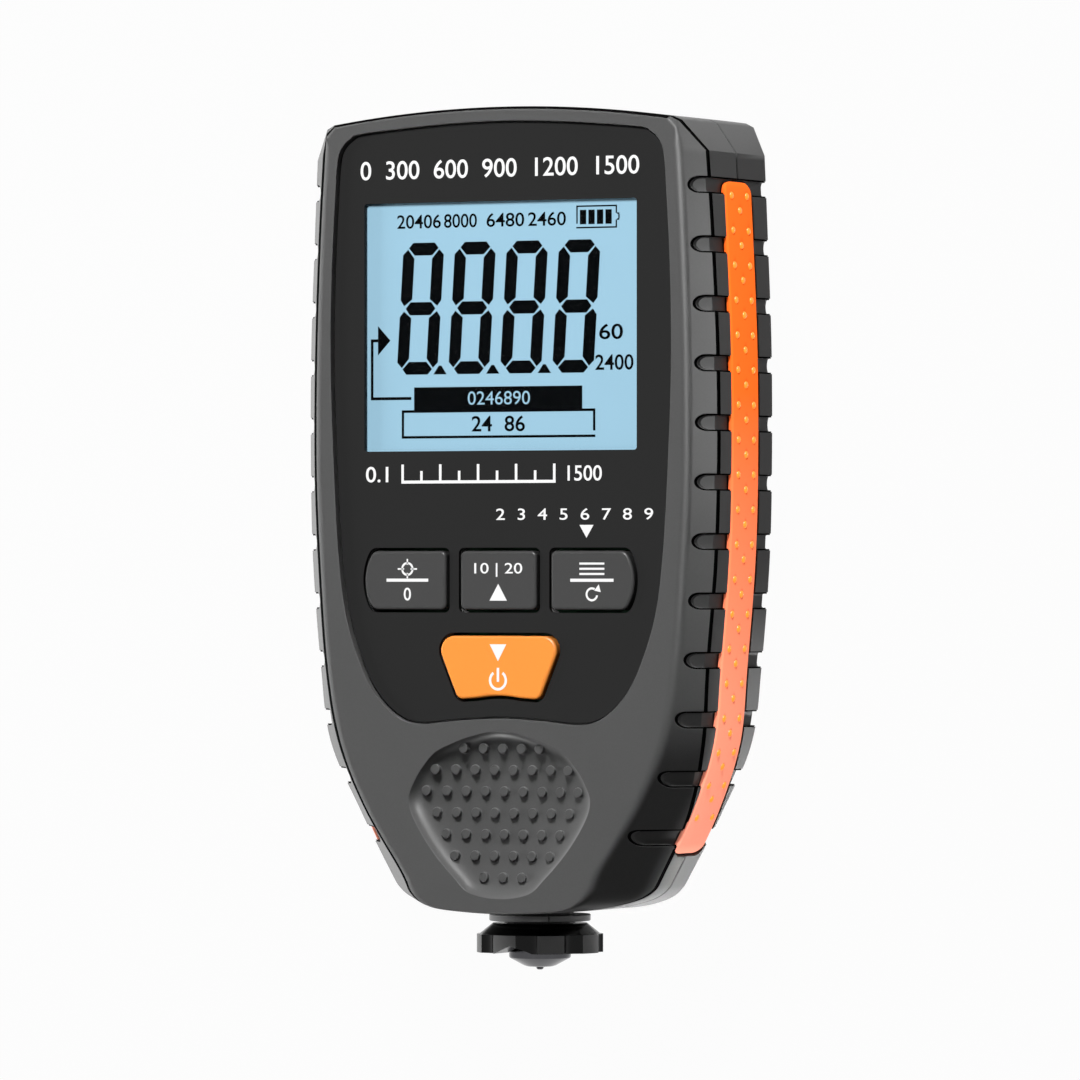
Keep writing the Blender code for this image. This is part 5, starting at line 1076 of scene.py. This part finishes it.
def displayMarks():
    low, high = levels["glassTop"], levels["glassTop"] + prints["displayThickness"]
    outlines = []
    for i in range(4):
        outlines += digitOutlines(digit["firstX"] + i * digit["pitch"], digit["y"])
    for x in (-9.92, -1.75, 6.2):
        outlines.append([(x - 1.01, 22.6), (x - 0.2, 23.78), (x + 0.2, 23.78), (x + 1.01, 22.6)])
    outlines += [[(-19.6, 25.3), (-19.6, 29.3), (-17.67, 27.3)], bar(-20.72, 27.1, -19.6, 27.5),
                 bar(-20.72, 19.15, -20.32, 27.1), bar(-20.32, 19.15, -14.4, 19.55)]
    outlines.append(bar(-13.95, 17.73, 12.0, 20.84))
    outlines += [bar(-15.88, 17.38, 14.0, 17.73), bar(-15.88, 13.86, -15.53, 17.38), bar(-15.53, 13.86, 14.0, 14.2),
                 bar(13.65, 14.75, 14.0, 17.38)]
    battery = [bar(11.1, 45.0, 17.3, 45.2), bar(11.1, 42.1, 17.3, 42.3), bar(11.1, 42.75, 11.3, 45.0),
               bar(17.1, 44.1, 17.3, 45.0), bar(17.1, 42.3, 17.3, 43.2), bar(17.3, 43.15, 17.65, 43.35),
               bar(17.3, 43.95, 17.65, 44.15), bar(17.5, 43.35, 17.7, 43.95)]
    battery += [bar(11.65 + i * 1.3, 42.65, 12.6 + i * 1.3, 44.6) for i in range(4)]
    parts = [plateMarks("segments", outlines + battery, low, high)]
    parts += [numberMark(*values[:5], low, high, values[5]) for values in prints["displayNumbers"]]
    deliver(joinUp("displaySegments", parts), "segmentBlack", "housing", "lcd_blue")
    light = numberMark(*prints["barNumbers"], high, high + prints["thickness"])
    deliver(light, "displayBlue", "housing", "lcd_blue")
    light.name = "barNumbers"


panelMarks()
keyMarks()
displayMarks()
print("marks printed")


# Probe
probe = {
    "z": 11.9, "ringRadius": 6.95, "ringTop": -51.2, "ringLength": 0.9, "bore": 4.9,
    "guardTop": -52.4, "coneLength": 1.5, "skirtLength": 2.5, "guardTopRadius": 6.45, "coneRadius": 8.25,
    "guardRadius": 8.65, "flutes": 8, "fluteRadius": 2.3, "fluteDepth": 0.7, "fluteTurn": -7.0,
    "notchWidth": 5.5, "notchDepth": 1.1,
    "tip": [(2.9, -46.0), (3.4, -46.0), (3.4, -56.0), (4.05, -56.0), (4.25, -56.15), (4.25, -57.0), (4.15, -57.2),
            (2.2, -58.25), (1.7, -58.4), (0.75, -58.46), (0.5, -58.55), (0.45, -58.72), (0.3, -58.82), (0, -58.85),
            (0.0, -56.6), (2.9, -56.6)],
}


def makeProbe():
    p = probe
    centre = (0, 0, p["z"])
    top, end = p["ringTop"], p["ringTop"] - p["ringLength"]
    profile = [(p["bore"], top), (p["ringRadius"] - 0.1, top), (p["ringRadius"], top - 0.1),
               (p["ringRadius"], end + 0.1), (p["ringRadius"] - 0.1, end), (p["bore"], end)]
    ring = turned("neckRing", profile, centre, loop=True, steps=128)
    combine(ring, box("seam", (4.2, end - 1, p["z"]), (4.35, top + 1, p["z"] + 9)))
    deliver(smoothOff(ring), "ringGrey", "housing", "shell_grey", "probe_neck_ring")
    top = p["guardTop"]
    skirt = top - p["coneLength"]
    end = skirt - p["skirtLength"]
    profile = [(p["bore"], top), (p["guardTopRadius"], top), (p["coneRadius"], skirt + 0.05),
               (p["guardRadius"], skirt), (p["guardRadius"], end), (p["bore"], end)]
    guard = turned("probeGuard", profile, centre, loop=True, steps=160)
    reach = p["guardRadius"] + p["fluteRadius"] - p["fluteDepth"]
    for i in range(p["flutes"]):
        angle = 2 * math.pi * (i + 0.5) / p["flutes"] + math.radians(p["fluteTurn"])
        place = (reach * math.sin(angle), 0, p["z"] + reach * math.cos(angle))
        combine(guard, rod("flute", p["fluteRadius"], skirt + 0.01, end - 1, place, "Y", 64))
    slope = p["notchDepth"] / (p["notchWidth"] / 2)
    half = p["notchWidth"] / 2 + 1
    point, foot = end + p["notchDepth"], end + p["notchDepth"] - slope * half
    combine(guard, flat("notch", [[(0, point), (half, foot), (-half, foot)]], levels["under"], levels["over"]))
    smoothOff(guard)
    deliver(guard, "guardBlack", "housing", "guard_black", "probe_guard")
    guard.data.materials.append(paints["guardLandSheen"])
    for face in guard.data.polygons:                 # lands between the flutes take the lighter grey, a painted reflection on the black plastic
        x, y, z = face.center / mm
        out = math.hypot(face.normal.x, face.normal.z)
        if y < skirt - 0.01 and out > 0.9 and math.hypot(x, z - p["z"]) > p["guardRadius"] - 0.05:
            face.material_index = 1
    head = turned("probeHead", p["tip"], centre, steps=128, loop=True)
    deliver(smoothOff(head, 25), "tipChrome", "probe", "chrome", "probe_tip")


cells = {
    "places": (("cell_left", -5.4, 1), ("cell_right", 5.4, -1)),
    "profile": [(0, 22.25), (1.7, 22.25), (1.9, 22.1), (1.9, 21.25), (4.2, 21.2), (4.6, 21.45), (4.95, 21.4),
                (5.25, 21.0), (5.25, -21.9), (5.0, -22.2), (4.4, -22.25), (0, -22.25)],
}


def makeCells():
    for node, x, up in cells["places"]:
        low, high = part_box(node)
        middle = (low.y + high.y) / 2 / mm
        profile = [(radius, up * y) for radius, y in cells["profile"]]
        cell = turned("cell", profile, (x, middle, levels["cells"]), steps=64)
        deliver(smoothOff(cell), "cellJacket", "housing", "cell_jacket", node)
        cell.name = "dryCell_" + node[5:]


coils = {                                            # radius, wire radius, height of the axis
    "turns": 4, "stepsPerTurn": 28, "flatShare": 0.12,
    "cell_spring_left": (3.1, 0.3, "cells"), "cell_spring_right": (3.1, 0.3, "cells"),
    "probe_spring": (2.95, 0.2, "middle"),
}


def makeCoils():
    turns, flatShare = coils["turns"], coils["flatShare"]
    for node in ("cell_spring_left", "cell_spring_right", "probe_spring"):
        radius, wireRadius, level = coils[node]
        low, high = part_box(node)
        start, end = low.y / mm + wireRadius, high.y / mm - wireRadius
        x, z = round((low.x + high.x) / 2 / mm, 1), levels[level]
        bpy.ops.curve.primitive_nurbs_path_add()
        coil = bpy.context.active_object
        coil.data.splines.clear()
        spline = coil.data.splines.new("POLY")
        count = turns * coils["stepsPerTurn"]
        spline.points.add(count)
        for i, point in enumerate(spline.points):
            share = i / count
            rise = min(1, max(0, (share - flatShare) / (1 - 2 * flatShare)))     # flat turns at both ends
            angle = 2 * math.pi * turns * share
            point.co = ((x + radius * math.cos(angle)) * mm, (start + (end - start) * rise) * mm,
                        (z + radius * math.sin(angle)) * mm, 1)
        coil.data.bevel_depth = wireRadius * mm
        coil.data.bevel_resolution = 2
        coil.data.use_fill_caps = True
        bpy.ops.object.convert(target="MESH")
        coil = bpy.context.active_object
        coil.name = node.replace("_s", "S").replace("_l", "L").replace("_r", "R") + "Coil"
        smoothOff(cleanUp(coil), 50, False)
        deliver(coil, "steelPlate", "housing", "steel", node)
        if node == "probe_spring":
            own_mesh(coil)


makeProbe()
makeCells()
makeCoils()
print("probe and cells made")

nodePaints = {
    "lcd_glass": "displayBlue", "lcd_frame": "whitePlastic", "backlight_panel": "whitePlastic",
    "zebra_strip": "softBlack", "main_board": "boardGreen", "controller_chip": "blackPlastic", "buzzer": "blackPlastic",
    "contact_plate_left": "steelPlate", "contact_plate_right": "steelPlate", "bridge_plate": "steelPlate",
    "probe_coil": "coilCopper", "probe_core": "steelPlate", "probe_sleeve": "blackPlastic", "probe_cable": "softBlack",
    "cable_plug": "whitePlastic", "board_socket": "whitePlastic",
}
for key in keyNames:
    nodePaints[key + "_switch_base"] = "blackPlastic"
    nodePaints[key + "_switch_plunger"] = "whitePlastic"
for i in range(1, 5):
    nodePaints[f"board_screw_{i}"] = "steelPlate"
for node, paint in nodePaints.items():
    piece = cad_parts[node]
    piece.data.materials.clear()
    piece.data.materials.append(paints[paint])
print("carried pieces painted")

# Floor, light and camera
display = ["printedPanel", "windowLens", "panelMarks", "displaySegments", "barNumbers", "lcd_glass",
           "zeroCap", "unitCap", "modeCap", "powerCap", "zeroMarks", "unitMarks", "modeMarks", "powerMarks"]
strips = ["sideStrip_right", "sideStrip_left"]
studio = {
    "floorShade": 0.25, "cameraShare": 0.97, "worldDiffuse": 0.05,
    "tilt": 28.0, "distance": 1.144, "cameraY": -0.0045, "lens": 278.3,
    "lamps": {
        "topLamp": {"from": (0.0, 0.85, 0.5), "size": (0.3, 0.3), "power": 15.5, "without": display + strips},
        "panelLamp": {"from": (0.0, 0.45, 0.89), "size": (0.3, 0.3), "power": 10.2, "only": display},
        "leftLamp": {"from": (-0.98, -0.05, 0.15), "size": (0.4, 0.5), "power": 11.0},
        "ribLamp": {"from": (-1.0, -0.05, 0.03), "size": (0.2, 0.06), "power": 26.0,
                    "only": ["frontHousing", "rearHousing"]},
        "stripLamp": {"from": (0.42, 0.72, 0.5), "size": (0.08, 0.08), "power": 16.5, "only": strips, "gloss": True},
        "stripFill": {"from": (0.35, -0.9, 0.25), "size": (0.2, 0.2), "power": 11.5, "only": strips},
        # a narrow beam along the floor, on the side wall beside the probe
        "lowLamp": {"from": (0.3, -0.95, 0.0), "distance": 0.075, "aim": (0.0215, -0.044, 0.008),
                    "size": (0.035, 0.0145), "power": 0.0062, "spread": 5.0, "only": ["frontHousing", "rearHousing"]},
        # the back, through the floor
        "backLamp": {"from": (0.0, -0.02, -1.0), "size": (0.5, 0.5), "power": 10.0, "through": ["paleFloor"]},
        # these only shine, on edges that face them
        "edgeShine": {"from": (0.425, 0.25, 0.87), "size": (0.15, 0.4), "power": 55.0, "shine": True,
                      "only": ["frontHousing", "neckRing", "probeHead"]},
        "bevelShine": {"from": (1.0, 0.22, 0.06), "size": (0.5, 0.1), "power": 50.0, "shine": True,
                       "only": ["frontHousing"]},
        "dishShine": {"from": (0.14, 0.645, 0.72), "size": (0.2, 0.2), "power": 40.0, "shine": True,
                      "only": ["frontHousing", "zeroCap", "unitCap", "modeCap", "powerCap"]},
        "noseShine": {"from": (-0.47, -0.87, 0.17), "size": (0.2, 0.1), "power": 20.0, "shine": True,
                      "only": ["frontHousing"]},
    },
}


def seenDirectly(tree):                              # 1 for the camera, for reflections and through clear parts
    path = tree.nodes.new("ShaderNodeLightPath")
    total = path.outputs["Is Camera Ray"]
    for ray in ("Is Glossy Ray", "Is Transmission Ray"):
        either = tree.nodes.new("ShaderNodeMath")
        either.operation = "MAXIMUM"
        tree.links.new(total, either.inputs[0])
        tree.links.new(path.outputs[ray], either.inputs[1])
        total = either.outputs[0]
    return total


def makeFloor():
    bpy.ops.mesh.primitive_plane_add(size=6, location=(0, 0, -0.0002))
    floor = bpy.context.active_object
    floor.name = "paleFloor"
    material = bpy.data.materials.new("floorWhite")
    material.use_nodes = True
    tree = material.node_tree
    shader = tree.nodes["Principled BSDF"]
    shader.inputs["Base Color"].default_value = (*[studio["floorShade"]] * 3, 1)
    shader.inputs["Roughness"].default_value = 0.9
    shader.inputs["Specular IOR Level"].default_value = 0.0
    glow = tree.nodes.new("ShaderNodeEmission")
    share = tree.nodes.new("ShaderNodeMath")
    share.operation = "MULTIPLY"
    share.inputs[1].default_value = studio["cameraShare"]
    mix = tree.nodes.new("ShaderNodeMixShader")
    tree.links.new(seenDirectly(tree), share.inputs[0])
    tree.links.new(share.outputs[0], mix.inputs[0])
    tree.links.new(shader.outputs[0], mix.inputs[1])
    tree.links.new(glow.outputs[0], mix.inputs[2])
    clear = tree.nodes.new("ShaderNodeBsdfTransparent")      # the floor has no underside, so the back shows
    oneSided = tree.nodes.new("ShaderNodeMixShader")
    tree.links.new(tree.nodes.new("ShaderNodeNewGeometry").outputs["Backfacing"], oneSided.inputs[0])
    tree.links.new(mix.outputs[0], oneSided.inputs[1])
    tree.links.new(clear.outputs[0], oneSided.inputs[2])
    tree.links.new(oneSided.outputs[0], tree.nodes["Material Output"].inputs[0])
    floor.data.materials.append(material)


def makeWorld():
    world = bpy.data.worlds.new("studioWorld")
    bpy.context.scene.world = world
    world.use_nodes = True
    tree = world.node_tree
    background = tree.nodes["Background"]
    background.inputs["Color"].default_value = (1, 1, 1, 1)
    level = tree.nodes.new("ShaderNodeMapRange")
    level.inputs["To Min"].default_value = studio["worldDiffuse"]
    tree.links.new(seenDirectly(tree), level.inputs["Value"])
    tree.links.new(level.outputs[0], background.inputs["Strength"])


def makeLamps():
    for name, values in studio["lamps"].items():
        data = bpy.data.lights.new(name, "AREA")
        data.shape = "RECTANGLE"
        data.size, data.size_y = values["size"]
        data.energy = values["power"]
        lamp = bpy.data.objects.new(name, data)
        bpy.context.scene.collection.objects.link(lamp)
        direction = Vector(values["from"]).normalized()
        lamp.location = Vector(values.get("aim", (0, 0, 0))) + direction * values.get("distance", 1.0)
        lamp.rotation_mode = "QUATERNION"
        lamp.rotation_quaternion = Matrix((Vector((0, 0, 1)).cross(direction).normalized(),
                                           direction.cross(Vector((0, 0, 1)).cross(direction)).normalized(),
                                           direction)).transposed().to_quaternion()
        data.spread = math.radians(values.get("spread", 180.0))
        lamp.visible_camera = False
        lamp.visible_diffuse = not values.get("shine", False)
        lamp.visible_glossy = values.get("shine", False) or "gloss" in values    # the others don't glare
        links = {"receiver_collection": values.get("only", values.get("without")),
                 "blocker_collection": values.get("through")}
        for kind, pieces in links.items():
            if pieces:
                group = bpy.data.collections.new(name + "Pieces")
                for piece in pieces:
                    group.objects.link(bpy.data.objects[piece])
                setattr(lamp.light_linking, kind, group)
                for item in group.collection_objects:
                    item.light_linking.link_state = "INCLUDE" if "only" in values else "EXCLUDE"


def makeCamera():
    data = bpy.data.cameras.new("camera")
    data.lens = studio["lens"]
    data.sensor_width = 36
    data.clip_start, data.clip_end = 0.05, 20
    camera = bpy.data.objects.new("camera", data)
    bpy.context.scene.collection.objects.link(camera)
    tilt = math.radians(studio["tilt"])
    target = Vector((0, 0, levels["middle"] * mm))
    camera.location = target + Vector((math.sin(tilt) * studio["distance"], studio["cameraY"],
                                       math.cos(tilt) * studio["distance"]))
    away = (camera.location - target).normalized()
    right = Vector((0, 1, 0)).cross(away).normalized()
    up = away.cross(right)
    camera.rotation_mode = "QUATERNION"
    camera.rotation_quaternion = Matrix((right, up, away)).transposed().to_quaternion()
    bpy.context.scene.camera = camera


makeFloor()
makeWorld()
makeLamps()
makeCamera()
bpy.context.scene.view_settings.view_transform = "Standard"
print("stage set")
